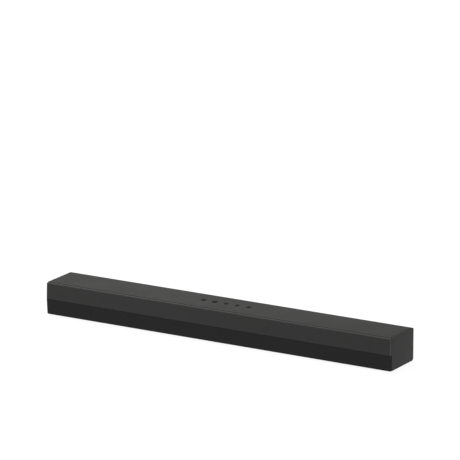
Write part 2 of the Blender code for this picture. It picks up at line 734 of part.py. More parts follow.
def make_dc_inlet(finish):
    """The low-voltage inlet: a block with a round mouth and a centre pin."""
    mouth_y = TRAY_FLOOR + SOCKET_PROUD
    bottom = socket_bottom()
    half = INLET_SIDE / 2
    low = (INLET_X - half, mouth_y - INLET_LENGTH, bottom)
    inlet = block("dc_inlet", low, (INLET_X + half, mouth_y, bottom + INLET_SIDE), finish)
    place = (INLET_X, mouth_y, bottom + half)
    mouth = [(INLET_MOUTH, -INLET_MOUTH_DEPTH), (INLET_MOUTH, FIT)]
    cut(inlet, small_turned("inlet_mouth", mouth, at=place, turn=FACING_BACK))
    pin = [(INLET_PIN, -INLET_MOUTH_DEPTH - FIT), (INLET_PIN, -FRAME_WALL)]
    unite(inlet, small_turned("inlet_pin", pin, at=place, turn=FACING_BACK))


def make_inlet_tray_hole():
    half = INLET_SIDE / 2 + FIT
    bottom = socket_bottom()
    low = (INLET_X - half, TRAY_FLOOR - 2 * TRAY_WALL, bottom - FIT)
    high = (INLET_X + half, TRAY_FLOOR + TRAY_WALL, bottom + INLET_SIDE + FIT)
    cut(bpy.data.objects["connector_tray"], block("hole_for_dc_inlet", low, high))


def make_main_board(finish):
    front, rear = board_span()
    low = (-BOARD_HALF, front, MAIN_BOARD_HEIGHT)
    block("main_board", low, (BOARD_HALF, rear, MAIN_BOARD_HEIGHT + BOARD), finish)


def make_heat_sink(finish):
    """A finned block on the amplifier; its fins run front to back."""
    bottom = socket_bottom()
    front, _ = board_span()
    y = front + STANDOFF_INSET
    x = HEAT_SINK_MARGIN - BOARD_HALF
    low = (x - HEAT_SINK_WIDTH / 2, y, bottom)
    high = (x + HEAT_SINK_WIDTH / 2, y + HEAT_SINK_LENGTH, bottom + HEAT_SINK_HEIGHT)
    sink = block("heat_sink", low, high, finish)
    pitch = (HEAT_SINK_WIDTH - FIN) / (FINS - 1)
    gaps = []
    for index in range(FINS - 1):
        left = low[0] + FIN + index * pitch
        gap_low = (left, y - WALL, bottom + HEAT_SINK_BASE)
        gaps.append((gap_low, (left + pitch - FIN, high[1] + WALL, high[2] + WALL)))
    cut(sink, blocks("fin_gaps", gaps))


def make_wireless_module(finish):
    """The shielded radio module on the main board."""
    bottom = socket_bottom()
    front, _ = board_span()
    wide, deep, tall = RADIO_SIZE
    x = BOARD_HALF - RADIO_MARGIN
    low = (x - wide / 2, front + STANDOFF_INSET * 2, bottom)
    high = (x + wide / 2, low[1] + deep, bottom + tall)
    block("wireless_module", low, high, finish, edge=FIT)


def make_status_board(finish):
    """The board behind the cloth with the status light and the remote control's receiver."""
    rear = BAFFLE_FRONT - FIT
    low = (-STATUS_WIDTH / 2, rear - BOARD, STATUS_LOW)
    block("status_board", low, (STATUS_WIDTH / 2, rear, STATUS_HIGH), finish)


def make_remote_receiver(finish):
    rear = BAFFLE_FRONT - FIT - BOARD - FIT
    half = RECEIVER_WIDTH / 2
    x = STATUS_WIDTH / 3
    middle = (STATUS_LOW + STATUS_HIGH) / 2
    low = (x - half, rear - RECEIVER_DEPTH, middle - half)
    block("remote_receiver", low, (x + half, rear, middle + half), finish, edge=2 * FIT)


def woofer_places():
    return (("left", -WOOFER_X), ("right", WOOFER_X))


def driver_at(x):
    return (x, BAFFLE_FRONT, DRIVER_HEIGHT)


def make_woofer_frame(side, x, finish):
    """The oval basket: a flange on the baffle, a slanted wall with windows, and a ring for the magnet."""
    outer = (OVAL, FRAME_HOLE + BASKET_WALL)
    inner = (OVAL, FRAME_HOLE)
    back_outer = (OVAL / 3 + BASKET_WALL, SPIDER_RADIUS + 2 * BASKET_WALL)
    back_inner = (OVAL / 3, SPIDER_RADIUS + BASKET_WALL)
    shelf = -BASKET_DEPTH + BASKET_WALL
    hole = COIL_RADIUS + COIL_GAP + FIT
    ledge = SPIDER_RADIUS - BASKET_WALL
    rings = (
        (OVAL, FRAME_HOLE, FIT + FLANGE),
        (FLANGE_STRAIGHT, FLANGE_RADIUS, FIT + FLANGE),
        (FLANGE_STRAIGHT, FLANGE_RADIUS, FIT),
        (*outer, FIT),
        (*back_outer, -BASKET_DEPTH),
        (0, hole, -BASKET_DEPTH),
        (0, hole, shelf),
        (0, ledge, shelf),
        (0, ledge, shelf + BASKET_WALL),
        (0, SPIDER_RADIUS, shelf + BASKET_WALL),
        (0, SPIDER_RADIUS, shelf),
        (*back_inner, shelf),
        (*inner, FIT),
    )
    frame = loft("woofer_frame_" + side, rings, finish, driver_at(x), FACING_FRONT, closed=True)
    front = BAFFLE_BACK + FIT
    rear = BAFFLE_FRONT + BASKET_DEPTH - 3 * BASKET_WALL
    near, far = OVAL / 8, OVAL / 2
    pairs = [
        ((x - far, front, 0), (x - near, rear, TOP)),
        ((x + near, front, 0), (x + far, rear, TOP)),
        ((x - 2 * OVAL, front, DRIVER_HEIGHT - near), (x + 2 * OVAL, rear, DRIVER_HEIGHT + near)),
    ]
    cut(frame, blocks("woofer_windows_" + side, pairs))


def make_woofer_magnet(side, x, finish):
    front = -BASKET_DEPTH - FIT
    back = front - MAGNET_THICKNESS
    well = back + MAGNET_THICKNESS / 4
    profile = (
        (COIL_RADIUS - COIL_WALL - COIL_GAP, front),
        (COIL_RADIUS - COIL_WALL - COIL_GAP, well),
        (COIL_RADIUS + COIL_GAP, well),
        (COIL_RADIUS + COIL_GAP, front),
        (MAGNET_RADIUS, front),
        (MAGNET_RADIUS, back),
    )
    turned("woofer_magnet_" + side, profile, finish, driver_at(x), FACING_FRONT)


def make_woofer_cone(side, x, finish):
    """The cone with its dust cap and coil former: one moving piece, closed in front and open behind."""
    neck = -CONE_DEPTH
    inside = COIL_RADIUS - COIL_WALL
    rings = (
        (0, inside / 3, neck + CAP_RISE),
        (0, inside * 3 / 4, neck + CAP_RISE * 2 / 3),
        (0, COIL_RADIUS + COIL_WALL, neck),
        (OVAL / 2, (COIL_RADIUS + CONE_RADIUS) / 2, neck * 2 / 5),
        (OVAL, CONE_RADIUS, 0),
        (OVAL, CONE_RADIUS, -CONE_WALL),
        (OVAL / 2, (COIL_RADIUS + CONE_RADIUS) / 2 - FIT, neck * 2 / 5 - CONE_WALL),
        (0, COIL_RADIUS, neck - CONE_WALL),
        (0, COIL_RADIUS, COIL_END),
        (0, inside, COIL_END),
        (0, inside, neck - CONE_WALL),
        (0, inside * 3 / 4 - FIT, neck + CAP_RISE * 2 / 3 - CONE_WALL),
        (0, inside / 3 - FIT, neck + CAP_RISE - CONE_WALL),
    )
    loft("woofer_cone_" + side, rings, finish, driver_at(x), FACING_FRONT)


def make_woofer_surround(side, x, finish):
    """The rubber half roll between the cone and the basket's flange."""
    middle = CONE_RADIUS + FIT + SURROUND_WIDTH / 2
    seat = 2 * FIT
    arc = [math.pi * step / 5 for step in range(6)]
    outer, inner = SURROUND_WIDTH / 2, SURROUND_WIDTH / 2 - CONE_WALL
    rings = [(OVAL, middle + outer * math.cos(a), seat + outer * math.sin(a)) for a in arc]
    rings += [(OVAL, middle + inner * math.cos(a), seat + inner * math.sin(a)) for a in reversed(arc)]
    loft("woofer_surround_" + side, rings, finish, driver_at(x), FACING_FRONT, closed=True)


def make_woofer_spider(side, x, finish):
    """The corrugated disc that centres the coil former."""
    low = -BASKET_DEPTH + 2 * BASKET_WALL + FIT
    inner = COIL_RADIUS + FIT
    step = (SPIDER_RADIUS - inner) / SPIDER_WAVES
    top = [(inner + i * step, low + CONE_WALL + (i % 2) * CONE_WALL) for i in range(SPIDER_WAVES + 1)]
    bottom = [(radius, height - CONE_WALL / 2) for radius, height in reversed(top)]
    turned("woofer_spider_" + side, top + bottom, finish, driver_at(x), FACING_FRONT, closed=True)


def tweeter_places():
    return (("left", -TWEETER_X), ("right", TWEETER_X))


def make_tweeter_housing(side, x, finish):
    """The face plate, its shallow horn and the magnet pot, with the ring-shaped gap for the dome's coil."""
    pole = DOME_RADIUS - DOME_WALL - 2 * FIT
    gap = DOME_RADIUS + 2 * FIT
    face = FIT + FLANGE
    profile = (
        (pole, 0),
        (pole, -TWEETER_DEPTH / 2),
        (gap, -TWEETER_DEPTH / 2),
        (gap, FIT),
        (TWEETER_BODY_RADIUS, face),
        (TWEETER_PLATE_RADIUS, face),
        (TWEETER_PLATE_RADIUS, FIT),
        (TWEETER_BODY_RADIUS, FIT),
        (TWEETER_BODY_RADIUS, -TWEETER_DEPTH),
    )
    turned("tweeter_housing_" + side, profile, finish, driver_at(x), FACING_FRONT)


def make_tweeter_dome(side, x, finish):
    """The dome and its coil former, in one thin shell that is open behind."""
    steps = 4
    base = 2 * FIT
    end = -TWEETER_DEPTH / 2 + 4 * FIT
    outside, inside = [], []
    for step in range(1, steps + 1):
        angle = math.pi / 2 * step / steps
        rise = DOME_RISE * math.cos(angle)
        outside.append((DOME_RADIUS * math.sin(angle), base + rise))
        inner = DOME_RADIUS - DOME_WALL
        inside.append((inner * math.sin(angle), base - DOME_WALL + rise))
    profile = outside + [(DOME_RADIUS, end), (DOME_RADIUS - DOME_WALL, end)] + inside[::-1]
    turned("tweeter_dome_" + side, profile, finish, driver_at(x), FACING_FRONT)


def make_damping_pads(finish):
    front = BAFFLE_FRONT + BASKET_DEPTH + FIT + MAGNET_THICKNESS + PAD_FRONT_GAP
    for side, direction in (("left", -1), ("right", 1)):
        near, far = WOOFER_X + PAD_START, WOOFER_X + PAD_START + PAD_LENGTH
        left, right = sorted((direction * near, direction * far))
        low = (left, front, INNER_BOTTOM + PAD_BOTTOM_GAP)
        high = (right, INNER_BACK - PAD_BACK_GAP, INNER_TOP - PAD_TOP_GAP)
        block("damping_pad_" + side, low, high, finish, edge=PAD_EDGE)


def main():
    clear_scene()
    casing = material("casing", (0.075, 0.075, 0.074), 0.45)
    moulding = material("inner_moulding", (0.03, 0.03, 0.03), 0.6)
    rubber = material("rubber", (0.02, 0.02, 0.02), 0.85)
    key_plastic = material("key_plastic", (0.012, 0.012, 0.012), 0.5)
    steel = material("steel", (0.5, 0.5, 0.5), 0.35, 1.0)
    board = material("circuit_board", (0.02, 0.10, 0.05), 0.5)
    make_cloths(
        material("upper_cloth", (0.04, 0.04, 0.04), 0.95),
        material("lower_cloth", (0.018, 0.018, 0.018), 0.95),
    )
    make_grille_frame(moulding)
    make_top_cover(casing)
    make_base_shell(casing)
    for side, direction in (("left", -1), ("right", 1)):
        make_rear_panel(side, direction, casing)
        make_end_cap(side, direction, casing)
    make_feet(rubber)
    make_wall_inserts(material("brass", (0.6, 0.45, 0.2), 0.35, 1.0))
    make_screws(steel)
    make_front_baffle(moulding)
    make_chamber_walls(moulding)
    make_keys(key_plastic)
    make_switches(key_plastic)
    make_key_board(board)
    make_connector_tray(casing)
    make_inlet_tray_hole()
    make_sockets(steel)
    make_dc_inlet(key_plastic)
    make_main_board(board)
    make_heat_sink(material("aluminium", (0.6, 0.6, 0.6), 0.4, 1.0))
    make_wireless_module(steel)
    make_status_board(board)
    make_remote_receiver(key_plastic)
    paper = material("cone_paper", (0.03, 0.03, 0.03), 0.8)
    magnet = material("ferrite", (0.08, 0.08, 0.08), 0.6)
    spider = material("spider_cloth", (0.45, 0.32, 0.12), 0.9)
    for side, x in woofer_places():
        make_woofer_frame(side, x, moulding)
        make_woofer_magnet(side, x, magnet)
        make_woofer_cone(side, x, paper)
        make_woofer_surround(side, x, rubber)
        make_woofer_spider(side, x, spider)
    for side, x in tweeter_places():
        make_tweeter_housing(side, x, moulding)
        make_tweeter_dome(side, x, paper)
    make_damping_pads(material("wadding", (0.7, 0.7, 0.68), 1.0))


main()
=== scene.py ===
"""A compact soundbar in its finished looks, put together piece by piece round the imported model."""

import math

import bmesh
import bpy
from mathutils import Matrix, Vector


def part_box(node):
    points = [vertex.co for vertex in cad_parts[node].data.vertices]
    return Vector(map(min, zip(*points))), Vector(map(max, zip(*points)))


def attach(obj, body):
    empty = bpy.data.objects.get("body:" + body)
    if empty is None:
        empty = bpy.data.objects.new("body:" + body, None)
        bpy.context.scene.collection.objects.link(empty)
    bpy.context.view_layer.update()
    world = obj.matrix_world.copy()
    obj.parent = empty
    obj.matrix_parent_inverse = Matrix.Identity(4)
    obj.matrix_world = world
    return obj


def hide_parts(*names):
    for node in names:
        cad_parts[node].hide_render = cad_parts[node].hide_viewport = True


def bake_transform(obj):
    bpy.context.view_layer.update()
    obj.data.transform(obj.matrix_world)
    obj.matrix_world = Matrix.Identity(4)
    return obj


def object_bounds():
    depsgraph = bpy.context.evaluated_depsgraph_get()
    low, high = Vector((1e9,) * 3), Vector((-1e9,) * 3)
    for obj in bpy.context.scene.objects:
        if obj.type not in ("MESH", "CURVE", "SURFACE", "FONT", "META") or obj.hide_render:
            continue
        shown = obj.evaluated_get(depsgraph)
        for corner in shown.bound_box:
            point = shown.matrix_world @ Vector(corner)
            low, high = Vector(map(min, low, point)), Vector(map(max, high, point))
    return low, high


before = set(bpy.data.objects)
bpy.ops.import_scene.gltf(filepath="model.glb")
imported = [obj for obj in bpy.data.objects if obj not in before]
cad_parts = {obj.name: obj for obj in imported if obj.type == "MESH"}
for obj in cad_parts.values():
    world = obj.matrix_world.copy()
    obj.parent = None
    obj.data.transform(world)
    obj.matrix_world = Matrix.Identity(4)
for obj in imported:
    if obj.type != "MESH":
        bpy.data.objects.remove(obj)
cad_low, cad_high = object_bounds()
scene = bpy.context.scene
scene.view_settings.view_transform = "Standard"

# ---------------------------------------------------------------- camera
# It stands far back with a long lens, to the right of the front and a little above the bar.
CAMERA_TURN = 30.76
CAMERA_DIP = 14.95
camera_data = bpy.data.cameras.new("camera")
camera_data.sensor_width = 36
camera_data.lens = 324.5
camera_data.clip_end = 100
camera = bpy.data.objects.new("camera", camera_data)
camera.location = (3.6819, -6.1735, 2.1211)
camera.rotation_euler = (math.radians(90 - CAMERA_DIP), 0, math.radians(CAMERA_TURN))
scene.collection.objects.link(camera)
scene.camera = camera

# ---------------------------------------------------------------- studio
# A plain pale floor that glows a little, as a light table does, under an even sky. One broad light stands
# overhead, and a softer one hangs over the left half, so the top is brightest there and fades to the right.
SKY = 0.36
FLOOR_SIZE = 24
FLOOR_DROP = 0.0002
FLOOR_GLOW = 0.93
scene.world = bpy.data.worlds.new("studio")
scene.world.use_nodes = True
sky = scene.world.node_tree.nodes["Background"]
sky.inputs["Color"].default_value = (1, 1, 1, 1)
sky.inputs["Strength"].default_value = SKY


def add_light(name, kind, place, turn, strength, **settings):
    """Hangs up a light, turned by angles in degrees."""
    data = bpy.data.lights.new(name, kind)
    data.energy = strength
    for setting, value in settings.items():
        setattr(data, setting, value)
    light = bpy.data.objects.new(name, data)
    light.location = place
    light.rotation_euler = [math.radians(angle) for angle in turn]
    scene.collection.objects.link(light)


add_light("overhead", "SUN", (0, 0, 3), (0, -14, 0), 1.85, angle=math.radians(55))
add_light("left_softbox", "AREA", (-0.3, 0.1, 0.9), (0, 0, 0), 4.0, size=0.5)
add_light("front_softbox", "AREA", (-0.5, -1.2, 0.6), (64, 0, -15), 1.6, size=0.6)

bpy.ops.mesh.primitive_plane_add(size=FLOOR_SIZE, location=(0, 0, -FLOOR_DROP))
floor = bpy.context.object
floor.name = "floor"
floor_finish = bpy.data.materials.new("light_table")
floor_finish.use_nodes = True
floor_shader = floor_finish.node_tree.nodes["Principled BSDF"]
floor_shader.inputs["Base Color"].default_value = (0.1, 0.1, 0.1, 1)
floor_shader.inputs["Roughness"].default_value = 0.9
floor_shader.inputs["Specular IOR Level"].default_value = 0.0
floor_shader.inputs["Emission Color"].default_value = (1, 1, 1, 1)
floor_shader.inputs["Emission Strength"].default_value = FLOOR_GLOW
floor.data.materials.append(floor_finish)

# ---------------------------------------------------------------- base
# The underside and the foot of the back, one moulding of charcoal ABS with a fine spark-eroded grain. It
# holds the main board's posts and the screws' pads, and the feet and the screws' heads sink into it.
CASING_COLOUR = (0.0400, 0.0397, 0.0388)
POLISH_DRIFT = 0.06


def grained(name, colour, roughness, grain, depth, tone=0.08, gloss=0.12, metallic=0.0, patch=0.05):
    """A moulded or cast surface: a colour that drifts a little over patches, under a fine grain."""
    made = bpy.data.materials.new(name)
    made.use_nodes = True
    nodes, links = made.node_tree.nodes, made.node_tree.links
    shader = nodes["Principled BSDF"]
    shader.inputs["Metallic"].default_value = metallic
    shader.inputs["Specular IOR Level"].default_value = gloss
    place = nodes.new("ShaderNodeTexCoord")
    patches = nodes.new("ShaderNodeTexNoise")
    patches.inputs["Scale"].default_value = 1 / patch
    patches.inputs["Detail"].default_value = 4
    tones = nodes.new("ShaderNodeValToRGB")
    dark, pale = tones.color_ramp.elements
    dark.position, pale.position = 0.3, 0.7
    dark.color = (*[part * (1 - tone) for part in colour], 1)
    pale.color = (*[part * (1 + tone) for part in colour], 1)
    grains = nodes.new("ShaderNodeTexNoise")
    grains.inputs["Scale"].default_value = 1 / grain
    grains.inputs["Detail"].default_value = 2
    polish = nodes.new("ShaderNodeMapRange")
    polish.inputs["To Min"].default_value = roughness - POLISH_DRIFT
    polish.inputs["To Max"].default_value = roughness + POLISH_DRIFT
    relief = nodes.new("ShaderNodeBump")
    relief.inputs["Distance"].default_value = depth
    links.new(place.outputs["Object"], patches.inputs["Vector"])
    links.new(place.outputs["Object"], grains.inputs["Vector"])
    links.new(patches.outputs["Fac"], tones.inputs["Fac"])
    links.new(tones.outputs["Color"], shader.inputs["Base Color"])
    links.new(grains.outputs["Fac"], polish.inputs["Value"])
    links.new(polish.outputs["Result"], shader.inputs["Roughness"])
    links.new(grains.outputs["Fac"], relief.inputs["Height"])
    links.new(relief.outputs["Normal"], shader.inputs["Normal"])
    return made


def dress_node(material, *names):
    """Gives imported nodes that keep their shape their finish."""
    for name in names:
        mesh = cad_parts[name].data
        mesh.materials.clear()
        mesh.materials.append(material)


casing = grained("charcoal_casing", CASING_COLOUR, roughness=0.58, grain=0.00035, depth=0.00003)
# A near-black matt finish for the faces that line the seams: painted shadow that darkens the shadow gaps.
painted_seam_shadow = grained(
    "painted_seam_shadow", (0.0025, 0.0025, 0.0025), roughness=0.95, grain=0.0006, depth=0.00003, gloss=0.0,
)
dress_node(casing, "base_shell")

# ---------------------------------------------------------------- feet
# Four long oval pads of black rubber, each glued into a shallow recess of the base. Their lower edge is
# rounded. One is made, and the others are its copies.
FOOT_RADIUS = 0.0050
FOOT_STRAIGHT = 0.0090
FOOT_ROUNDING = 0.0007
FEET = ("front_left", "rear_left", "front_right", "rear_right")
SMOOTH_BELOW = 32  # degrees between two faces
LEVEL_ANGLE = 0.01  # radians


def deselect_all():
    bpy.ops.object.select_all(action="DESELECT")


def make_active(piece):
    """Selects one piece alone."""
    deselect_all()
    piece.select_set(True)
    bpy.context.view_layer.objects.active = piece


def near(value, target, reach=0.00005):
    """True where two lengths agree within a twentieth of a millimetre."""
    return abs(value - target) < reach


def pick(piece, kind, wanted):
    """In edit mode, selects only the faces, or the edges between faces that aren't level with each other,
    whose middle and direction pass a test."""
    bpy.ops.mesh.select_mode(type=kind)
    bpy.ops.mesh.select_all(action="DESELECT")
    form = bmesh.from_edit_mesh(piece.data)
    form.normal_update()
    if kind == "FACE":
        for face in form.faces:
            face.select_set(bool(wanted(face.calc_center_median(), face.normal)))
    else:
        for edge in form.edges:
            start, end = (corner.co for corner in edge.verts)
            sharp = edge.calc_face_angle(1.0) > LEVEL_ANGLE
            edge.select_set(bool(sharp and wanted((start + end) / 2, (end - start).normalized())))
    form.select_flush_mode()
    bmesh.update_edit_mesh(piece.data)


def pull_halves(piece, middle, reach):
    """Moves the left and the right half of the selected ring apart along X, or together again."""
    if not reach:
        return
    form = bmesh.from_edit_mesh(piece.data)
    ring = [corner.index for corner in form.verts if corner.select]
    for wanted in (-1, 1, 0):
        form = bmesh.from_edit_mesh(piece.data)
        form.verts.ensure_lookup_table()
        bpy.ops.mesh.select_all(action="DESELECT")
        for index in ring:
            side = form.verts[index].co.x - middle
            form.verts[index].select_set(side * wanted > 0 or not wanted)
        form.select_flush_mode()
        bmesh.update_edit_mesh(piece.data)
        if wanted:
            bpy.ops.transform.translate(value=(wanted * reach, 0, 0))


def grow(name, centre, way, rings, sides=48, closed=False):
    """A turned or oval form, grown ring by ring from a circle. A ring is (half of its straight side,
    radius, height), and heights count from the centre along the way that it faces."""
    deselect_all()
    centre, way = Vector(centre), Vector(way)
    tilt = (0, 0, math.pi / sides) if way.z else (math.pi / 2, math.pi / sides, 0)
    straight, radius, height = rings[0]
    bpy.ops.mesh.primitive_circle_add(
        vertices=sides, radius=radius, location=centre + way * height, rotation=tilt
    )
    piece = bpy.context.object
    piece.name = name
    bpy.ops.object.transform_apply(location=True, rotation=True, scale=True)
    bpy.ops.object.mode_set(mode="EDIT")
    bpy.ops.mesh.select_mode(type="VERT")
    bpy.ops.mesh.select_all(action="SELECT")
    pull_halves(piece, centre.x, straight)
    for before, after in zip(rings, rings[1:]):
        step = way * (after[2] - before[2])
        bpy.ops.mesh.extrude_region_move(TRANSFORM_OT_translate={"value": step})
        pull_halves(piece, centre.x, -before[0])
        size = after[1] / before[1]
        bpy.ops.transform.resize(value=(size, size, size), center_override=centre + way * after[2])
        pull_halves(piece, centre.x, after[0])
    bpy.ops.mesh.select_all(action="DESELECT")
    bpy.ops.mesh.select_non_manifold()
    if closed:
        bpy.ops.mesh.bridge_edge_loops()
    else:
        bpy.ops.mesh.fill_holes(sides=0)
    bpy.ops.mesh.select_all(action="SELECT")
    bpy.ops.mesh.normals_make_consistent(inside=False)
    bpy.ops.object.mode_set(mode="OBJECT")
    return piece


def fit_piece(piece, material, slot, body, *nodes):
    """Gives a finished piece its material and smooth faces, and fixes it to its body."""
    make_active(piece)
    piece.data.materials.clear()
    piece.data.materials.append(material)
    bpy.ops.object.transform_apply(location=True, rotation=True, scale=True)
    bpy.ops.object.shade_smooth_by_angle(angle=math.radians(SMOOTH_BELOW))
    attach(piece, body)
    if nodes:
        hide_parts(*nodes)


def rounding(straight, radius, size, steps):
    """Rings that round an edge off, from its end face to its side."""
    angles = [math.pi / 2 * step / steps for step in range(steps + 1)]
    return [(straight, radius - size + size * math.sin(a), size - size * math.cos(a)) for a in angles]


def copy_of(piece, name, step):
    """A copy with a mesh of its own, moved by a step."""
    copied = piece.copy()
    copied.data = piece.data.copy()
    copied.name = name
    copied.location = step
    scene.collection.objects.link(copied)
    make_active(copied)
    bpy.ops.object.transform_apply(location=True, rotation=True, scale=True)
    return copied


rubber = grained(
    "black_rubber", (0.018, 0.018, 0.018), roughness=0.8, grain=0.0005, depth=0.00004, gloss=0.1,
)
foot_low, foot_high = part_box("foot_" + FEET[0])
sole = ((foot_low.x + foot_high.x) / 2, (foot_low.y + foot_high.y) / 2, foot_low.z)
rings = rounding(FOOT_STRAIGHT, FOOT_RADIUS, FOOT_ROUNDING, 5)
rings.append((FOOT_STRAIGHT, FOOT_RADIUS, foot_high.z - foot_low.z))
feet = [grow("rubber_foot_" + FEET[0], sole, (0, 0, 1), rings)]
for place in FEET[1:]:
    feet.append(copy_of(feet[0], "rubber_foot_" + place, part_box("foot_" + place)[0] - foot_low))
for foot, place in zip(feet, FEET):
    fit_piece(foot, rubber, "rubber", "cabinet", "foot_" + place)

# ---------------------------------------------------------------- housing screws
# Four self-tapping screws of plated steel, driven up through the base's pads into the cover's posts. Each
# has a flat head with a cross recess and a coarse thread. One is made, and the others are its copies.
SCREW_COUNT = 4
SCREW_HEAD_RADIUS = 0.0028
SCREW_HEAD = 0.0020
SCREW_HEAD_EDGE = 0.0004
SCREW_RADIUS = 0.0014
SCREW_CORE = SCREW_RADIUS * 0.8
SCREW_PITCH = 0.0010
RECESS_WIDTH = 0.0006
RECESS_LENGTH = 0.0032
RECESS_SINK = 0.0011


def start_block(name, low, high):
    """A block between two corners, as the start of a piece."""
    deselect_all()
    low, high = Vector(low), Vector(high)
    bpy.ops.mesh.primitive_cube_add(size=1, location=(low + high) / 2, scale=high - low)
    block = bpy.context.object
    block.name = name
    bpy.ops.object.transform_apply(location=True, rotation=True, scale=True)
    return block


def finish_with(piece, kind, **settings):
    """Adds a modifier and applies it."""
    make_active(piece)
    step = piece.modifiers.new(kind, kind)
    for setting, value in settings.items():
        setattr(step, setting, value)
    bpy.ops.object.modifier_apply(modifier=step.name)


def join_solid(piece, other, operation):
    """Cuts another solid out of a piece, or unites the two, and removes the other."""
    finish_with(piece, "BOOLEAN", operation=operation, solver="EXACT", object=other)
    bpy.data.objects.remove(other)


steel = grained(
    "plated_steel", (0.45, 0.45, 0.46), roughness=0.34, grain=0.0008, depth=0.00001, gloss=0.5,
    metallic=1.0,
)
screw_low, screw_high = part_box("housing_screw_1")
head = Vector(((screw_low.x + screw_high.x) / 2, (screw_low.y + screw_high.y) / 2, screw_low.z))
length = screw_high.z - screw_low.z
rings = rounding(0, SCREW_HEAD_RADIUS, SCREW_HEAD_EDGE, 3)
rings += [(0, SCREW_HEAD_RADIUS, SCREW_HEAD), (0, SCREW_CORE, SCREW_HEAD)]
for turn in range(int((length - SCREW_HEAD - SCREW_PITCH) / SCREW_PITCH)):
    height = SCREW_HEAD + (turn + 0.5) * SCREW_PITCH
    rings += [(0, SCREW_CORE, height), (0, SCREW_RADIUS, height + SCREW_PITCH / 4)]
    rings += [(0, SCREW_CORE, height + SCREW_PITCH / 2)]
rings += [(0, SCREW_RADIUS / 2, length)]
screws = [grow("base_screw_1", head, (0, 0, 1), rings, sides=24)]
for reach_x, reach_y in ((RECESS_LENGTH, RECESS_WIDTH), (RECESS_WIDTH, RECESS_LENGTH)):
    reach = Vector((reach_x / 2, reach_y / 2, RECESS_SINK))
    join_solid(screws[0], start_block("recess", head - reach, head + reach), "DIFFERENCE")
for number in range(2, SCREW_COUNT + 1):
    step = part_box(f"housing_screw_{number}")[0] - screw_low
    screws.append(copy_of(screws[0], f"base_screw_{number}", step))
for number, screw in enumerate(screws, 1):
    fit_piece(screw, steel, "steel", "cabinet", f"housing_screw_{number}")

# ---------------------------------------------------------------- baffle and chamber walls
# A board of black ABS that carries the four drivers, and two partitions that close the drivers' chambers
# off from the electronics. They are glued to the casing with a bead of sealant.
black_moulding = grained(
    "black_moulding", (0.016, 0.016, 0.016), roughness=0.62, grain=0.0006, depth=0.00004,
)
dress_node(black_moulding, "front_baffle", "chamber_wall_left", "chamber_wall_right")

# ---------------------------------------------------------------- woofers
# Two oval drivers, alike, each a moulded basket with a ferrite pot behind it. A pressed paper cone with ribs
# and a dust cap carries the voice coil. A rubber half roll and a corrugated spider of resin-dipped cotton
# hold it.
SIDES = ("left", "right")
OVAL = 0.030
CONE_RADIUS = 0.0150
CONE_DEPTH = 0.0110
CONE_WALL = 0.0008
CONE_FLARE = 1.35
CONE_STEPS = 10
RIB_STEPS = (4, 7)
RIB_DEPTH = 0.00025
COIL_RADIUS = 0.0103
COIL_WALL = 0.0004
COIL_END = 0.0245
CAP_RISE = 0.0030
CAP_STEPS = 6
SURROUND_WIDTH = 0.0054
SURROUND_WALL = 0.0008
SURROUND_SEAT = 0.0006
ROLL_STEPS = 10
SPIDER_RADIUS = 0.0150
SPIDER_BACK = 0.0152
SPIDER_STEPS = 12
SPIDER_WAVE = 0.0008
SPIDER_LIFT = 0.0009
SPIDER_WALL = 0.00045
GLUE_GAP = 0.0003
SOFT_SMOOTH_BELOW = 60  # degrees between two faces
TO_FRONT = (0, -1, 0)


def follow_cone(piece, weight):
    """Reckons each point's weight from its distance to the cone's axis and moves the point there for a
    moment;
    then every point goes back where it was, so the piece is not bent."""
    rest = [corner.co.copy() for corner in piece.data.vertices]
    for corner, place in zip(piece.data.vertices, rest):
        corner.co = (0, weight(place), 0)
    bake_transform(piece)
    for corner, place in zip(piece.data.vertices, rest):
        corner.co = place
    piece.data.update()


def dress_soft(piece, material, node):
    """Gives a soft piece its material and smooth faces."""
    make_active(piece)
    piece.data.materials.clear()
    piece.data.materials.append(material)
    bpy.ops.object.shade_smooth_by_angle(angle=math.radians(SOFT_SMOOTH_BELOW))
    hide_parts(node)


def smoothstep_back(share):
    """The share along a bend whose smooth weight is this one."""
    share = min(1.0, max(0.0, share))
    return 0.5 - math.sin(math.asin(1 - 2 * share) / 3)


def front_axis(node):
    """The middle of a driver's moving part, level with its front."""
    low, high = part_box(node)
    return Vector(((low.x + high.x) / 2, low.y, (low.z + high.z) / 2))


paper = grained(
    "pressed_paper", (0.025, 0.025, 0.025), roughness=0.85, grain=0.0009, depth=0.00006, tone=0.2,
    patch=0.004,
)
ferrite = grained("ferrite", (0.05, 0.05, 0.052), roughness=0.6, grain=0.0008, depth=0.00003)
spider_cotton = grained(
    "dipped_cotton", (0.33, 0.22, 0.08), roughness=0.9, grain=0.0007, depth=0.00008, tone=0.2,
    patch=0.003,
)
axes = {side: front_axis("woofer_cone_" + side) for side in SIDES}

inside, neck = COIL_RADIUS - COIL_WALL, COIL_RADIUS + COIL_WALL
angles = [math.pi / 2 * step / CAP_STEPS for step in range(1, CAP_STEPS + 1)]
cap = [(0, inside * math.sin(a), CAP_RISE * math.cos(a) - CONE_DEPTH) for a in angles]
flare = []
for step in range(CONE_STEPS + 1):
    share = step / CONE_STEPS
    height = -CONE_DEPTH * (1 - share) ** CONE_FLARE - (RIB_DEPTH if step in RIB_STEPS else 0)
    flare.append((OVAL * share, neck + (CONE_RADIUS - neck) * share, height))
rings = cap + flare
rings += [(straight, radius - COIL_WALL, height - CONE_WALL) for straight, radius, height in reversed(flare)]
rings += [(0, COIL_RADIUS, -COIL_END), (0, inside, -COIL_END), (0, inside, -CONE_DEPTH - CONE_WALL)]
rings += [(0, radius, height - CONE_WALL) for _, radius, height in reversed(cap[:-1])]
cone = grow("cone_left", axes["left"], TO_FRONT, rings)

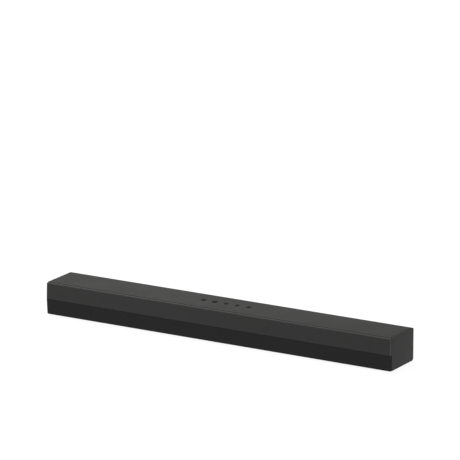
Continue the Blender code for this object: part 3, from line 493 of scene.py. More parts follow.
roll_middle = CONE_RADIUS + GLUE_GAP + SURROUND_WIDTH / 2
roll_outer = SURROUND_WIDTH / 2
arc = [math.pi * step / ROLL_STEPS for step in range(ROLL_STEPS + 1)]
rings = []
for reach, way_round in ((roll_outer, arc), (roll_outer - SURROUND_WALL, arc[::-1])):
    for a in way_round:
        rings.append((OVAL, roll_middle + reach * math.cos(a), SURROUND_SEAT + reach * math.sin(a)))
roll = grow("surround_left", axes["left"], TO_FRONT, rings, closed=True)

disc_inner = COIL_RADIUS + GLUE_GAP
step = (SPIDER_RADIUS - disc_inner) / SPIDER_STEPS
rings = []
for count in range(SPIDER_STEPS + 1):
    height = SPIDER_LIFT - SPIDER_BACK + SPIDER_WAVE * math.sin(math.pi * count / 2) ** 2
    rings.append((0, disc_inner + step * count, height))
rings += [(0, radius, height - SPIDER_WALL) for _, radius, height in reversed(rings)]
disc = grow("spider_left", axes["left"], TO_FRONT, rings, closed=True)

between = axes["right"] - axes["left"]
moving = {"left": (cone, roll, disc), "right": []}
for piece in moving["left"]:
    moving["right"].append(copy_of(piece, piece.name.replace("left", "right"), between))
for side in SIDES:
    cone, roll, disc = moving[side]
    body, axis = "woofer_cone_" + side, axes[side]
    dress_node(black_moulding, "woofer_frame_" + side)
    fit_piece(cone, paper, "cone_paper", body, body)

    def roll_weight(place):
        reach = math.hypot(max(0, abs(place.x - axis.x) - OVAL), place.z - axis.z)
        return smoothstep_back((roll_middle + roll_outer - reach) / SURROUND_WIDTH)

    def disc_weight(place):
        reach = math.hypot(place.x - axis.x, place.z - axis.z)
        return smoothstep_back((SPIDER_RADIUS - reach) / (SPIDER_RADIUS - disc_inner))

    dress_soft(roll, rubber, "woofer_surround_" + side)
    follow_cone(roll, roll_weight)
    dress_soft(disc, spider_cotton, "woofer_spider_" + side)
    follow_cone(disc, disc_weight)
dress_node(ferrite, "woofer_magnet_left", "woofer_magnet_right")

# ---------------------------------------------------------------- tweeters
# Two soft domes of coated silk, alike. Each sits in the shallow horn of a moulded face plate with its magnet
# behind.
DOME_RADIUS = 0.0093
DOME_RISE = 0.0036
DOME_WALL = 0.0008
DOME_STEPS = 9
silk = grained("coated_silk", (0.020, 0.020, 0.022), roughness=0.5, grain=0.0004, depth=0.00003, gloss=0.3)
axes = {side: front_axis("tweeter_dome_" + side) for side in SIDES}
dome_low, dome_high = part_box("tweeter_dome_left")
length, inner = dome_high.y - dome_low.y, DOME_RADIUS - DOME_WALL
angles = [math.pi / 2 * step / DOME_STEPS for step in range(1, DOME_STEPS + 1)]
rings = [(0, DOME_RADIUS * math.sin(a), DOME_RISE * (math.cos(a) - 1)) for a in angles]
rings += [(0, DOME_RADIUS, -length), (0, inner, -length)]
rings += [(0, inner * math.sin(a), DOME_RISE * (math.cos(a) - 1) - DOME_WALL) for a in reversed(angles)]
domes = [grow("dome_left", axes["left"], TO_FRONT, rings)]
domes.append(copy_of(domes[0], "dome_right", axes["right"] - axes["left"]))
for dome, side in zip(domes, SIDES):
    fit_piece(dome, silk, "cone_paper", "tweeter_dome_" + side, "tweeter_dome_" + side)
dress_node(black_moulding, "tweeter_housing_left", "tweeter_housing_right")

# ---------------------------------------------------------------- damping pads
# Two soft pads of white polyester wadding, tucked into the chambers behind the woofers. They are cut a little
# oversize and swell against their neighbours, so their faces are crowned.
PAD_INSET = 0.0022
PAD_EDGE = 0.005
PAD_SWELL = 0.0020
PAD_VOXEL = 0.0040
PAD_PRESSURE = 4.0
PAD_FRAMES = 20


def swell(pad):
    """Blows a pad up by cloth simulation, and holds each point near its start."""
    start = [corner.co.copy() for corner in pad.data.vertices]
    make_active(pad)
    cloth = pad.modifiers.new("cloth", "CLOTH")
    cloth.settings.use_pressure = True
    cloth.settings.uniform_pressure_force = PAD_PRESSURE
    cloth.settings.effector_weights.gravity = 0
    for count in range(1, PAD_FRAMES + 1):
        scene.frame_set(count)
    bpy.ops.object.modifier_apply(modifier=cloth.name)
    scene.frame_set(1)
    for corner, before in zip(pad.data.vertices, start):
        moved = corner.co - before
        if moved.length > PAD_SWELL:
            corner.co = before + moved.normalized() * PAD_SWELL


wadding = grained(
    "white_wadding", (0.62, 0.62, 0.60), roughness=0.95, grain=0.0012, depth=0.0005, tone=0.05,
    patch=0.006,
)
pad_low, pad_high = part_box("damping_pad_left")
shrink = Vector((PAD_INSET, PAD_INSET, PAD_INSET))
pad = start_block("wadding_left", pad_low + shrink, pad_high - shrink)
finish_with(pad, "BEVEL", width=PAD_EDGE, segments=3)
finish_with(pad, "REMESH", mode="VOXEL", voxel_size=PAD_VOXEL)
swell(pad)
finish_with(pad, "SUBSURF", levels=1, render_levels=1)
between = Vector((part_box("damping_pad_right")[0].x - pad_low.x, 0, 0))
pads = (pad, copy_of(pad, "wadding_right", between))
for piece, side in zip(pads, SIDES):
    fit_piece(piece, wadding, "wadding", "cabinet", "damping_pad_" + side)

# ---------------------------------------------------------------- main board
# A glass-fibre board with green solder resist on four posts of the base. It carries an extruded heat sink on
# the amplifier, a shielded wireless module and the four sockets.
resist = grained(
    "green_board", (0.010, 0.055, 0.028), roughness=0.42, grain=0.0012, depth=0.00002, tone=0.25,
    gloss=0.4, patch=0.003,
)
alloy = grained(
    "extruded_alloy", (0.52, 0.52, 0.53), roughness=0.4, grain=0.0008, depth=0.00002, gloss=0.5,
    metallic=1.0,
)
dress_node(resist, "main_board")
dress_node(alloy, "heat_sink")
dress_node(steel, "wireless_module")

# ---------------------------------------------------------------- connector tray
# The middle of the back, one moulding with a deep rounded recess, so plugs don't stand proud of the bar. The
# sockets of the main board come through holes in its floor.
WALL = 0.0024
TRAY_WALL = 0.0020
POCKET_WIDTH = 0.138
POCKET_LOW = 0.0135
POCKET_HIGH = 0.0365
POCKET_DEPTH = 0.0145
POCKET_CORNER = 0.0030
POCKET_FILLET = 0.0012
SOCKET_GAP = 0.0003
BROKEN_EDGE = 0.0003
SOCKETS = ("optical_socket", "usb_socket", "hdmi_socket", "dc_inlet")


def bevel_edges(piece, width, segments, wanted):
    """Rounds the edges whose middle and direction pass a test."""
    make_active(piece)
    bpy.ops.object.mode_set(mode="EDIT")
    pick(piece, "EDGE", wanted)
    bpy.ops.mesh.bevel(offset=width, segments=segments, profile=0.5, affect="EDGES", clamp_overlap=True)
    bpy.ops.object.mode_set(mode="OBJECT")


tray_low, tray_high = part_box("connector_tray")
back = tray_high.y
tray = start_block("socket_tray", (tray_low.x, back - WALL, tray_low.z), tray_high)
half = POCKET_WIDTH / 2
floor_y = back - POCKET_DEPTH
cup_low = (-half - TRAY_WALL, tray_low.y, POCKET_LOW - TRAY_WALL)
cup = start_block("cup", cup_low, (half + TRAY_WALL, back - WALL / 2, POCKET_HIGH + TRAY_WALL))
bevel_edges(cup, POCKET_CORNER + TRAY_WALL, 6, lambda m, a: abs(a.y) > 0.9)
join_solid(tray, cup, "UNION")
pocket = start_block("pocket", (-half, floor_y, POCKET_LOW), (half, back + WALL, POCKET_HIGH))
bevel_edges(pocket, POCKET_CORNER, 6, lambda m, a: abs(a.y) > 0.9)
bevel_edges(pocket, POCKET_FILLET, 4, lambda m, a: near(m.y, floor_y) and abs(a.y) < 0.1)
join_solid(tray, pocket, "DIFFERENCE")
for node in SOCKETS:
    socket_low, socket_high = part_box(node)
    gap = Vector((SOCKET_GAP, 0, SOCKET_GAP))
    hole_low, hole_high = socket_low - gap, socket_high + gap
    hole_high.y = floor_y + TRAY_WALL
    join_solid(tray, start_block("socket_hole", hole_low, hole_high), "DIFFERENCE")
bevel_edges(tray, BROKEN_EDGE, 3, lambda m, a: near(m.y, back))
fit_piece(tray, casing, "casing", "cabinet", "connector_tray")

# ---------------------------------------------------------------- sockets
# Four board sockets: two pressed steel shells with a black tongue inside, an optical one with a square mouth
# and a lens at its bottom, and the low-voltage inlet with its centre pin. They are soldered to the board.
SHELL = 0.0006
SHELL_TOP_CORNER = 0.0010
SHELL_LIP = 0.00015
TONGUE_SINK = 0.0018
TONGUE_EDGE = 0.0003
OPTICAL_CORNER = 0.0008
MOUTH_WALL = 0.0016
MOUTH_FLARE = 0.0003
MOUTH_DEPTH = 0.0070
LENS_DEPTH = 0.0015
INLET_CORNER = 0.0010
INLET_BORE = 0.0029
INLET_DEPTH = 0.0100
INLET_FLARE = 0.0004
PIN_RADIUS = 0.0010
PIN_SINK = 0.0018
PIN_TIP = 0.0005
black_plastic = grained(
    "socket_plastic", (0.012, 0.012, 0.012), roughness=0.5, grain=0.0006, depth=0.00002, gloss=0.3,
)


def sink_face(piece, wall, depth, flare=0.0):
    """Insets the face that looks backwards and pushes it in, as a socket's mouth."""
    make_active(piece)
    rim = max(corner.co.y for corner in piece.data.vertices)
    bpy.ops.object.mode_set(mode="EDIT")
    pick(piece, "FACE", lambda m, n: n.y > 0.9 and near(m.y, rim))
    bpy.ops.mesh.inset(thickness=wall)
    if flare:
        bpy.ops.mesh.extrude_region_move(TRANSFORM_OT_translate={"value": (0, -flare, 0)})
        bpy.ops.mesh.inset(thickness=flare)
    bpy.ops.mesh.extrude_region_move(TRANSFORM_OT_translate={"value": (0, -depth, 0)})
    bpy.ops.object.mode_set(mode="OBJECT")


# For each shell: its node, its name, its lower corners' radius, its depth, then its tongue's width, height
# and place above the middle.
for node, name, corner, depth, tongue_width, tongue_height, tongue_rise in (
    ("usb_socket", "data_socket", 0.0010, 0.0110, 0.0110, 0.0018, 0.0010),
    ("hdmi_socket", "video_socket", 0.0018, 0.0090, 0.0110, 0.0010, 0.0),
):
    socket_low, socket_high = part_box(node)
    middle = (socket_low + socket_high) / 2
    shell = start_block(name + "_shell", socket_low, socket_high)
    bevel_edges(shell, corner, 3, lambda m, a: abs(a.y) > 0.9 and m.z < middle.z)
    bevel_edges(shell, SHELL_TOP_CORNER, 3, lambda m, a: abs(a.y) > 0.9 and m.z > middle.z)
    sink_face(shell, SHELL, depth)
    bevel_edges(shell, SHELL_LIP, 2, lambda m, a: near(m.y, socket_high.y))
    fit_piece(shell, steel, "steel", "cabinet", node)
    tongue_z = middle.z + tongue_rise
    low = (middle.x - tongue_width / 2, socket_high.y - depth, tongue_z - tongue_height / 2)
    high = (middle.x + tongue_width / 2, socket_high.y - TONGUE_SINK, tongue_z + tongue_height / 2)
    tongue = start_block(name + "_tongue", low, high)
    bevel_edges(tongue, TONGUE_EDGE, 2, lambda m, a: near(m.y, high[1]))
    fit_piece(tongue, black_plastic, "key_plastic", "cabinet")

socket_low, socket_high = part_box("optical_socket")
optical = start_block("optical_body", socket_low, socket_high)
bevel_edges(optical, OPTICAL_CORNER, 3, lambda m, a: abs(a.y) > 0.9)
sink_face(optical, MOUTH_WALL, MOUTH_DEPTH, flare=MOUTH_FLARE)
mouth_floor = socket_high.y - MOUTH_DEPTH - MOUTH_FLARE
bpy.ops.object.mode_set(mode="EDIT")
pick(optical, "FACE", lambda m, n: n.y > 0.9 and near(m.y, mouth_floor))
bpy.ops.mesh.inset(thickness=MOUTH_WALL)
bpy.ops.mesh.extrude_region_move(TRANSFORM_OT_translate={"value": (0, -LENS_DEPTH, 0)})
bpy.ops.object.mode_set(mode="OBJECT")
fit_piece(optical, black_plastic, "key_plastic", "cabinet", "optical_socket")

inlet_low, inlet_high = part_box("dc_inlet")
inlet_axis = Vector(((inlet_low.x + inlet_high.x) / 2, inlet_high.y, (inlet_low.z + inlet_high.z) / 2))
inlet = start_block("power_inlet", inlet_low, inlet_high)
bevel_edges(inlet, INLET_CORNER, 4, lambda m, a: abs(a.y) > 0.9)
mouth = [(0, INLET_BORE, -INLET_DEPTH), (0, INLET_BORE, -INLET_FLARE)]
mouth += [(0, INLET_BORE + INLET_FLARE * 2, INLET_FLARE)]
join_solid(inlet, grow("mouth", inlet_axis, (0, 1, 0), mouth, sides=32), "DIFFERENCE")
fit_piece(inlet, black_plastic, "key_plastic", "cabinet", "dc_inlet")
pin = [(0, PIN_RADIUS, -INLET_DEPTH), (0, PIN_RADIUS, -PIN_SINK - PIN_TIP)]
pin += [(0, PIN_RADIUS * 0.8, -PIN_SINK - PIN_TIP / 5), (0, PIN_RADIUS * 0.4, -PIN_SINK)]
fit_piece(grow("power_pin", inlet_axis, (0, 1, 0), pin, sides=20), steel, "steel", "cabinet")

# ---------------------------------------------------------------- rear panels
# The flat back on each side of the tray, of the same ABS, clipped between the base and the cover. A boss
# behind each one holds a threaded insert, and their edges are broken, so the seams show as fine lines.
INSERT_X = 0.180
INSERT_HEIGHT = 0.031
BORE_RADIUS = 0.0041
BORE_END = 0.0106
BOSS_RADIUS = 0.0067
BOSS_END = 0.0120
BOSS_EDGE = 0.0004


def mirror_of(piece, name):
    """A copy with a mesh of its own, turned over to the bar's other half."""
    copied = copy_of(piece, name, (0, 0, 0))
    copied.scale.x = -1
    bpy.ops.object.transform_apply(location=True, rotation=True, scale=True)
    bpy.ops.object.mode_set(mode="EDIT")
    bpy.ops.mesh.select_all(action="SELECT")
    bpy.ops.mesh.normals_make_consistent(inside=False)
    bpy.ops.object.mode_set(mode="OBJECT")
    return copied


panel_low, panel_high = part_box("rear_panel_left")
place = (-INSERT_X, back, INSERT_HEIGHT)
panel = start_block("rear_wall_left", (panel_low.x, back - WALL, panel_low.z), panel_high)
bevel_edges(panel, BROKEN_EDGE, 3, lambda m, a: near(m.y, back))
boss = [(0, BOSS_RADIUS - BOSS_EDGE, -BOSS_END), (0, BOSS_RADIUS, BOSS_EDGE - BOSS_END)]
boss.append((0, BOSS_RADIUS, -WALL / 2))
join_solid(panel, grow("boss", place, (0, 1, 0), boss), "UNION")
bore = [(0, BORE_RADIUS, -BORE_END), (0, BORE_RADIUS, WALL)]
join_solid(panel, grow("bore", place, (0, 1, 0), bore), "DIFFERENCE")
for piece, side in zip((panel, mirror_of(panel, "rear_wall_right")), SIDES):
    fit_piece(piece, casing, "casing", "cabinet", "rear_panel_" + side)

# ---------------------------------------------------------------- threaded inserts
# Two turned brass inserts, alike, heat-set into the panels' bosses for the screws of a wall bracket. Each has
# a countersunk mouth, an inner thread and a groove round its outside that the plastic flows into.
THREAD_PITCH = 0.0007
THREAD_DEPTH = 0.00022
THREAD_RADIUS = 0.0019
THREAD_END = 0.0080
INSERT_END = 0.0100
INSERT_EDGE = 0.0002
COUNTERSINK = 0.0004
GROOVE = 0.0004
GROOVE_LINES = (0.0035, 0.0040, 0.0060, 0.0065)
brass = grained(
    "turned_brass", (0.55, 0.40, 0.17), roughness=0.35, grain=0.0008, depth=0.00001, gloss=0.5,
    metallic=1.0,
)
insert_low, insert_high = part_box("wall_insert_left")
mouth = ((insert_low.x + insert_high.x) / 2, insert_high.y, (insert_low.z + insert_high.z) / 2)
outside = (insert_high.x - insert_low.x) / 2
rings = [(0, THREAD_RADIUS, -THREAD_END)]
for turn in range(int((THREAD_END - THREAD_PITCH) / THREAD_PITCH)):
    height = -THREAD_END + (turn + 0.5) * THREAD_PITCH
    rings += [(0, THREAD_RADIUS, height), (0, THREAD_RADIUS + THREAD_DEPTH, height + THREAD_PITCH / 4)]
    rings += [(0, THREAD_RADIUS, height + THREAD_PITCH / 2)]
rings += [(0, THREAD_RADIUS, -COUNTERSINK), (0, THREAD_RADIUS + COUNTERSINK, 0)]
rings += [(0, outside - INSERT_EDGE, 0), (0, outside, -INSERT_EDGE)]
for sunk, line in zip((0, GROOVE, GROOVE, 0), GROOVE_LINES):
    rings.append((0, outside - sunk, -line))
rings += [(0, outside, INSERT_EDGE - INSERT_END), (0, outside - INSERT_EDGE, -INSERT_END)]
insert = grow("brass_insert_left", mouth, (0, 1, 0), rings, sides=32)
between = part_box("wall_insert_right")[0] - insert_low
for piece, side in zip((insert, copy_of(insert, "brass_insert_right", between)), SIDES):
    fit_piece(piece, brass, "brass", "cabinet", "wall_insert_" + side)

# ---------------------------------------------------------------- top cover
# The top and the upper part of the back, moulded in one piece of the same charcoal ABS. Its front edge is
# crisp, its back edge is rounded, its five windows take the keys, and four posts inside take the screws.
BACK_RADIUS = 0.0045
CRISP_EDGE = 0.0002
KEY_GAP = 0.0002
POST_RADIUS = 0.0037
POST_EDGE = 0.0003
POST_LOW = 0.0099
POST_BORE = 0.0017
POST_BORE_END = 0.0260
KEY_NAMES = ("power", "source", "volume_down", "volume_up", "pairing")
cover_low, cover_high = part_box("top_cover")
top = cover_high.z
cover_seam = min(v.co.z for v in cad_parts["top_cover"].data.vertices if near(v.co.y, back))
cover = start_block("cover", (cover_low.x, cover_low.y, cover_seam), cover_high)
bpy.ops.object.mode_set(mode="EDIT")
pick(cover, "FACE", lambda m, n: n.z < -0.5 or n.y < -0.5 or abs(n.x) > 0.5)
bpy.ops.mesh.delete(type="FACE")
bpy.ops.object.mode_set(mode="OBJECT")
bevel_edges(cover, BACK_RADIUS, 10, lambda m, a: near(m.z, top) and near(m.y, back))
finish_with(cover, "SOLIDIFY", thickness=WALL, offset=-1, use_even_offset=True)
bevel_edges(cover, CRISP_EDGE, 3, lambda m, a: near(m.z, top) and near(m.y, cover_low.y) and abs(a.x) > 0.9)
post = [(0, POST_RADIUS - POST_EDGE, POST_LOW), (0, POST_RADIUS, POST_LOW + POST_EDGE)]
post.append((0, POST_RADIUS, top - WALL / 2))
bore = [(0, POST_BORE, POST_LOW - WALL), (0, POST_BORE, POST_BORE_END)]
for number in range(1, SCREW_COUNT + 1):
    screw_low, screw_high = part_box(f"housing_screw_{number}")
    place = ((screw_low.x + screw_high.x) / 2, (screw_low.y + screw_high.y) / 2, 0)
    join_solid(cover, grow("post", place, (0, 0, 1), post, sides=32), "UNION")
    join_solid(cover, grow("post_bore", place, (0, 0, 1), bore, sides=32), "DIFFERENCE")


def paint_seam_shadow(piece, wanted):
    """Paints the faces that line a seam near black, as painted shadow in the gap."""
    if len(piece.data.materials) < 2:
        piece.data.materials.append(painted_seam_shadow)
    for face in piece.data.polygons:
        if wanted(face.center, face.normal):
            face.material_index = 1


key_caps = {}
for key_name in KEY_NAMES:
    flange_low, flange_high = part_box("key_" + key_name)
    cap = [v.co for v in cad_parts["key_" + key_name].data.vertices if v.co.z > top]
    cap_low = Vector((min(p.x for p in cap), min(p.y for p in cap), flange_low.z))
    cap_high = Vector((max(p.x for p in cap), max(p.y for p in cap), flange_high.z))
    key_caps[key_name] = (cap_low, cap_high)
    gap = Vector((KEY_GAP, KEY_GAP))
    window_low, window_high = cap_low.xy - gap, cap_high.xy + gap
    window = start_block("window", (*window_low, top - 2 * WALL), (*window_high, top + WALL))
    corner = min(window_high - window_low) / 3
    bevel_edges(window, corner, 5, lambda m, a: abs(a.z) > 0.9)
    join_solid(cover, window, "DIFFERENCE")
fit_piece(cover, casing, "casing", "cabinet", "top_cover")
# Painted shadow: the cover's front wall and its end faces take the near-black seam finish.
paint_seam_shadow(cover, lambda m, n: n.y < -0.9 and near(m.y, cover_low.y))
paint_seam_shadow(cover, lambda m, n: abs(n.x) > 0.9 and near(abs(m.x), cover_high.x))

# ---------------------------------------------------------------- keys
# Five small black keys of satin ABS in a row on the top. Each has a cap with rounded edges, a flange that
# holds it under the cover and a stem that works its switch on the key board.
KEY_FLANGE = 0.0012
FLANGE_GAP = 0.0003
FLANGE_CORNER = 0.0006
KEY_EDGE = 0.0004
STEM_SIDE = 0.0020
key_finish = grained(
    "black_key", (0.0030, 0.0030, 0.0030), roughness=0.5, grain=0.0003, depth=0.00001, gloss=0.12,
)
for key_name in KEY_NAMES:
    whole_low, whole_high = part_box("key_" + key_name)
    cap_low, cap_high = key_caps[key_name]
    middle = (cap_low + cap_high) / 2
    width, depth = whole_high.x - whole_low.x, whole_high.y - whole_low.y
    flange_top = top - WALL - FLANGE_GAP
    flange_low = flange_top - KEY_FLANGE
    key = start_block("keycap_" + key_name, (*whole_low.xy, flange_low), (*whole_high.xy, flange_top))
    bpy.ops.object.mode_set(mode="EDIT")
    pick(key, "FACE", lambda m, n: n.z > 0.9)
    bpy.ops.mesh.inset(thickness=whole_high.x - cap_high.x)
    bpy.ops.mesh.extrude_region_move(TRANSFORM_OT_translate={"value": (0, 0, cap_high.z - flange_top)})
    pick(key, "FACE", lambda m, n: n.z < -0.9)
    bpy.ops.mesh.extrude_region_move()
    narrow = (STEM_SIDE / width, STEM_SIDE / depth, 1)
    bpy.ops.transform.resize(value=narrow, center_override=(middle.x, middle.y, flange_low))
    bpy.ops.mesh.extrude_region_move(TRANSFORM_OT_translate={"value": (0, 0, whole_low.z - flange_low)})
    bpy.ops.object.mode_set(mode="OBJECT")
    corner = min(cap_high.xy - cap_low.xy) / 3
    bevel_edges(key, corner, 5, lambda m, a: abs(a.z) > 0.9 and m.z > flange_top)
    bevel_edges(key, FLANGE_CORNER, 3, lambda m, a: abs(a.z) > 0.9 and flange_low < m.z < flange_top)
    bevel_edges(key, KEY_EDGE, 4, lambda m, a: near(m.z, cap_high.z) and abs(a.z) < 0.1)
    fit_piece(key, key_finish, "key_plastic", "key_" + key_name, "key_" + key_name)
dress_node(resist, "key_board")
dress_node(black_plastic, *["switch_" + key_name for key_name in KEY_NAMES])

# ---------------------------------------------------------------- status board
# A small board behind the upper cloth with the remote control's receiver, a block of black filter plastic
# that looks out through a window of the frame.
dress_node(resist, "status_board")
dress_node(black_plastic, "remote_receiver")

# ---------------------------------------------------------------- end caps
# A flat cheek at each end of the same ABS, with a softly broken rim. A lip behind it grips the casing, and a
# narrow shadow gap parts it from the cover and from the front.
CAP_THICKNESS = 0.0022
CAP_RIM = 0.0005
FRONT_CORNER = 0.0008
LOWER_BACK_RADIUS = 0.0050
LIP_LENGTH = 0.0068
LIP_WALL = 0.0016
LIP_GAP = 0.0003
cap_low, cap_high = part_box("end_cap_left")
outer, front, low, high = cap_low.x, cap_low.y, cap_low.z, cap_high.z
cheek = start_block("cheek_left", cap_low, (outer + CAP_THICKNESS, cap_high.y, high))
bpy.ops.object.mode_set(mode="EDIT")
pick(cheek, "FACE", lambda m, n: n.x > 0.9)
bpy.ops.mesh.inset(thickness=WALL + LIP_GAP)
bpy.ops.mesh.extrude_region_move(TRANSFORM_OT_translate={"value": (LIP_LENGTH, 0, 0)})
bpy.ops.mesh.inset(thickness=LIP_WALL)
bpy.ops.mesh.extrude_region_move(TRANSFORM_OT_translate={"value": (-LIP_LENGTH, 0, 0)})
bpy.ops.object.mode_set(mode="OBJECT")
for radius, segments, edge_y, edge_z in (
    (FRONT_CORNER, 5, front, low),
    (FRONT_CORNER, 5, front, high),
    (BACK_RADIUS, 10, back, high),
    (LOWER_BACK_RADIUS, 10, back, low),
):
    at_corner = lambda m, a: abs(a.x) > 0.9 and near(m.y, edge_y) and near(m.z, edge_z)
    bevel_edges(cheek, radius, segments, at_corner)
bevel_edges(cheek, CAP_RIM, 4, lambda m, a: near(m.x, outer) and abs(a.x) < 0.1)
# Painted shadow: each cheek's front face and its inward faces take the near-black seam finish.
for piece, side, inwards in ((cheek, "left", 1), (mirror_of(cheek, "cheek_right"), "right", -1)):
    fit_piece(piece, casing, "casing", "cabinet", "end_cap_" + side)
    paint_seam_shadow(piece, lambda m, n: n.y < -0.9 and near(m.y, front) or n.x * inwards > 0.9)

# ---------------------------------------------------------------- front
# A black moulded lattice with windows that let the sound through carries two acoustic cloths of fine
# polyester yarn, stretched over it and glued behind it. They meet in a tuck along the crease, where each edge
# is pressed into a groove. The upper cloth is charcoal, the lower one nearly black.
CLOTH = 0.0004
CREASE = 0.032
CREASE_ROUNDING = 0.0004
CLOTH_GAP = 0.00015
UPPER_LEAN = 0.0013
LOWER_LEAN = 0.0021
FRONT_RADIUS = 0.0025
TUCK = 0.0009
YARN = 0.0007
YARN_RELIEF = 0.35
SLUB_SCALE = 900
# Where the painted highlight on the cloths' turned edges fades in: behind the front, and in from the ends.
HIGHLIGHT_START = 0.0013
HIGHLIGHT_END = 0.0022
END_HIGHLIGHT_REACH = 0.0022
dress_node(black_moulding, "grille_frame")


def woven(name, colour, light, depth, sheen, edge_highlight, end_highlight, turned_edge):
    """A plain weave: yarns along the length over yarns that run round the front, uneven from yarn to yarn.
    Where the cloth turns round the frame's edges and ends, its colour is scaled paler as a painted highlight."""
    made = bpy.data.materials.new(name)
    made.use_nodes = True
    nodes, links = made.node_tree.nodes, made.node_tree.links
    shader = nodes["Principled BSDF"]
    shader.inputs["Roughness"].default_value = 0.92
    shader.inputs["Specular IOR Level"].default_value = 0.08
    shader.inputs["Sheen Weight"].default_value = sheen
    shader.inputs["Sheen Roughness"].default_value = 0.4
    place = nodes.new("ShaderNodeTexCoord")
    split = nodes.new("ShaderNodeSeparateXYZ")
    links.new(place.outputs["Object"], split.inputs["Vector"])
    from_middle = nodes.new("ShaderNodeMath")
    from_middle.operation = "ABSOLUTE"
    links.new(split.outputs["X"], from_middle.inputs[0])
    waves = []
    for start, turning in ((from_middle.outputs["Value"], "ADD"), (split.outputs["Z"], turned_edge)):
        round_edge = nodes.new("ShaderNodeMath")
        round_edge.operation = turning
        links.new(start, round_edge.inputs[0])
        links.new(split.outputs["Y"], round_edge.inputs[1])
        source = round_edge.outputs["Value"]
        turns = nodes.new("ShaderNodeMath")
        turns.operation = "MULTIPLY"
        turns.inputs[1].default_value = math.pi / YARN
        links.new(source, turns.inputs[0])
        wave = nodes.new("ShaderNodeMath")
        wave.operation = "SINE"
        links.new(turns.outputs["Value"], wave.inputs[0])
        waves.append(wave)
    crossing = nodes.new("ShaderNodeMath")
    crossing.operation = "MULTIPLY"
    links.new(waves[0].outputs["Value"], crossing.inputs[0])
    links.new(waves[1].outputs["Value"], crossing.inputs[1])
    slubs = nodes.new("ShaderNodeTexNoise")
    slubs.inputs["Scale"].default_value = SLUB_SCALE
    slubs.inputs["Detail"].default_value = 3
    links.new(place.outputs["Object"], slubs.inputs["Vector"])
    height = nodes.new("ShaderNodeMath")
    height.operation = "MULTIPLY_ADD"
    height.inputs[1].default_value = YARN_RELIEF
    links.new(crossing.outputs["Value"], height.inputs[0])
    links.new(slubs.outputs["Fac"], height.inputs[2])
    tones = nodes.new("ShaderNodeValToRGB")
    dark, pale = tones.color_ramp.elements
    dark.position, pale.position = 0.15, 0.85
    dark.color = (*[part * (1 - light) for part in colour], 1)
    pale.color = (*[part * (1 + light) for part in colour], 1)
    links.new(height.outputs["Value"], tones.inputs["Fac"])
    highlighted_colour = tones.outputs["Color"]
    # Painted highlight: the colour is scaled paler, up to the given gain, towards the back of the turned
    # edges and towards the ends.
    for source, start, end, most in (
        (split.outputs["Y"], cad_low.y + HIGHLIGHT_START, cad_low.y + HIGHLIGHT_END, edge_highlight),
        (from_middle.outputs["Value"], cad_high.x - END_HIGHLIGHT_REACH, cad_high.x - HIGHLIGHT_START, end_highlight),
    ):
        highlight_ramp = nodes.new("ShaderNodeMapRange")
        highlight_ramp.inputs["From Min"].default_value = start
        highlight_ramp.inputs["From Max"].default_value = end
        highlight_ramp.inputs["To Min"].default_value = 1
        highlight_ramp.inputs["To Max"].default_value = most
        links.new(source, highlight_ramp.inputs["Value"])
        scaled = nodes.new("ShaderNodeVectorMath")
        scaled.operation = "SCALE"
        links.new(highlighted_colour, scaled.inputs[0])
        links.new(highlight_ramp.outputs["Result"], scaled.inputs["Scale"])
        highlighted_colour = scaled.outputs["Vector"]
    links.new(highlighted_colour, shader.inputs["Base Color"])
    relief = nodes.new("ShaderNodeBump")
    relief.inputs["Distance"].default_value = depth
    links.new(height.outputs["Value"], relief.inputs["Height"])
    links.new(relief.outputs["Normal"], shader.inputs["Normal"])
    return made


def on_outline(point, half, front):
    """True on the outside of the front, seen from above, and false in the tuck behind it."""
    inside_x = half - abs(point.x)
    inside_y = point.y - front
    if inside_x < FRONT_RADIUS and inside_y < FRONT_RADIUS:
        corner = math.hypot(FRONT_RADIUS - inside_x, FRONT_RADIUS - inside_y)
        return corner > FRONT_RADIUS - TUCK / 2
    return inside_x < TUCK / 2 or inside_y < TUCK / 2


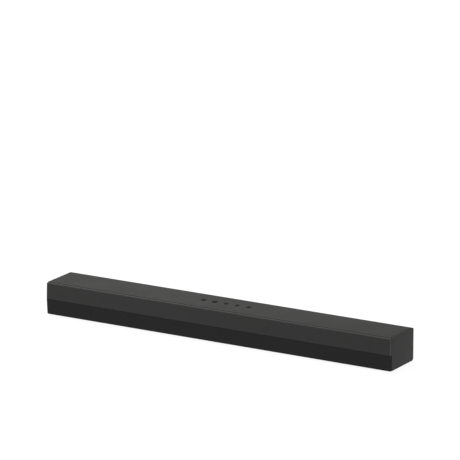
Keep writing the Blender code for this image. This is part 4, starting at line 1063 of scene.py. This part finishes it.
def stretch_cloth(name, low_z, high_z, lean, edge_z, crease_z):
    """A cloth over the front: a block leaned back at its outer edge, rounded in front and open at the
    crease."""
    half, front = cad_high.x, cad_low.y
    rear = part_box("grille_cloth_upper")[1].y
    cloth = start_block(name, (-half, front, low_z), (half, rear, high_z))
    bpy.ops.object.mode_set(mode="EDIT")
    pick(cloth, "EDGE", lambda m, a: near(m.y, front) and near(m.z, edge_z))
    bpy.ops.transform.translate(value=(0, lean, 0))
    pick(cloth, "FACE", lambda m, n: n.y > 0.9 or (abs(n.z) > 0.9 and near(m.z, crease_z)))
    bpy.ops.mesh.delete(type="FACE")
    bpy.ops.object.mode_set(mode="OBJECT")

    bevel_edges(cloth, FRONT_RADIUS, 10, lambda m, a: not near(m.y, rear) and not near(m.z, crease_z))
    bpy.ops.object.mode_set(mode="EDIT")
    pick(cloth, "EDGE", lambda m, a: near(m.z, crease_z) and abs(a.z) < 0.1)
    bpy.ops.mesh.extrude_region_move()
    tuck = ((half - TUCK) / half, (rear - front - TUCK) / (rear - front), 1)
    bpy.ops.transform.resize(value=tuck, center_override=(0, rear, crease_z))
    bpy.ops.object.mode_set(mode="OBJECT")
    bevel_edges(
        cloth,
        CREASE_ROUNDING,
        4,
        lambda m, a: near(m.z, crease_z) and abs(a.z) < 0.1 and on_outline(m, half, front),
    )
    finish_with(cloth, "SOLIDIFY", thickness=CLOTH, offset=-1, use_even_offset=True)
    return cloth


# The charcoal cloth is painted paler on its turned edges and ends as a highlight; the black one only a little
# at its ends.
charcoal = woven(
    "charcoal_cloth", (0.0375, 0.037, 0.0365), light=0.25, depth=0.00008, sheen=0.4, edge_highlight=1.5,
    end_highlight=1.4, turned_edge="ADD",
)
black = woven(
    "black_cloth", (0.022, 0.022, 0.022), light=0.25, depth=0.00008, sheen=0.03, edge_highlight=1.0,
    end_highlight=1.1, turned_edge="SUBTRACT",
)
upper_low, lower_low = CREASE + CLOTH_GAP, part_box("grille_cloth_lower")[0].z
upper_top, lower_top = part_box("grille_cloth_upper")[1].z, CREASE - CLOTH_GAP
upper = stretch_cloth("upper_front_cloth", upper_low, upper_top, UPPER_LEAN, upper_top, upper_low)
lower = stretch_cloth("lower_front_cloth", lower_low, lower_top, LOWER_LEAN, lower_low, lower_top)
fit_piece(upper, charcoal, "upper_cloth", "cabinet", "grille_cloth_upper")
fit_piece(lower, black, "lower_cloth", "cabinet", "grille_cloth_lower")
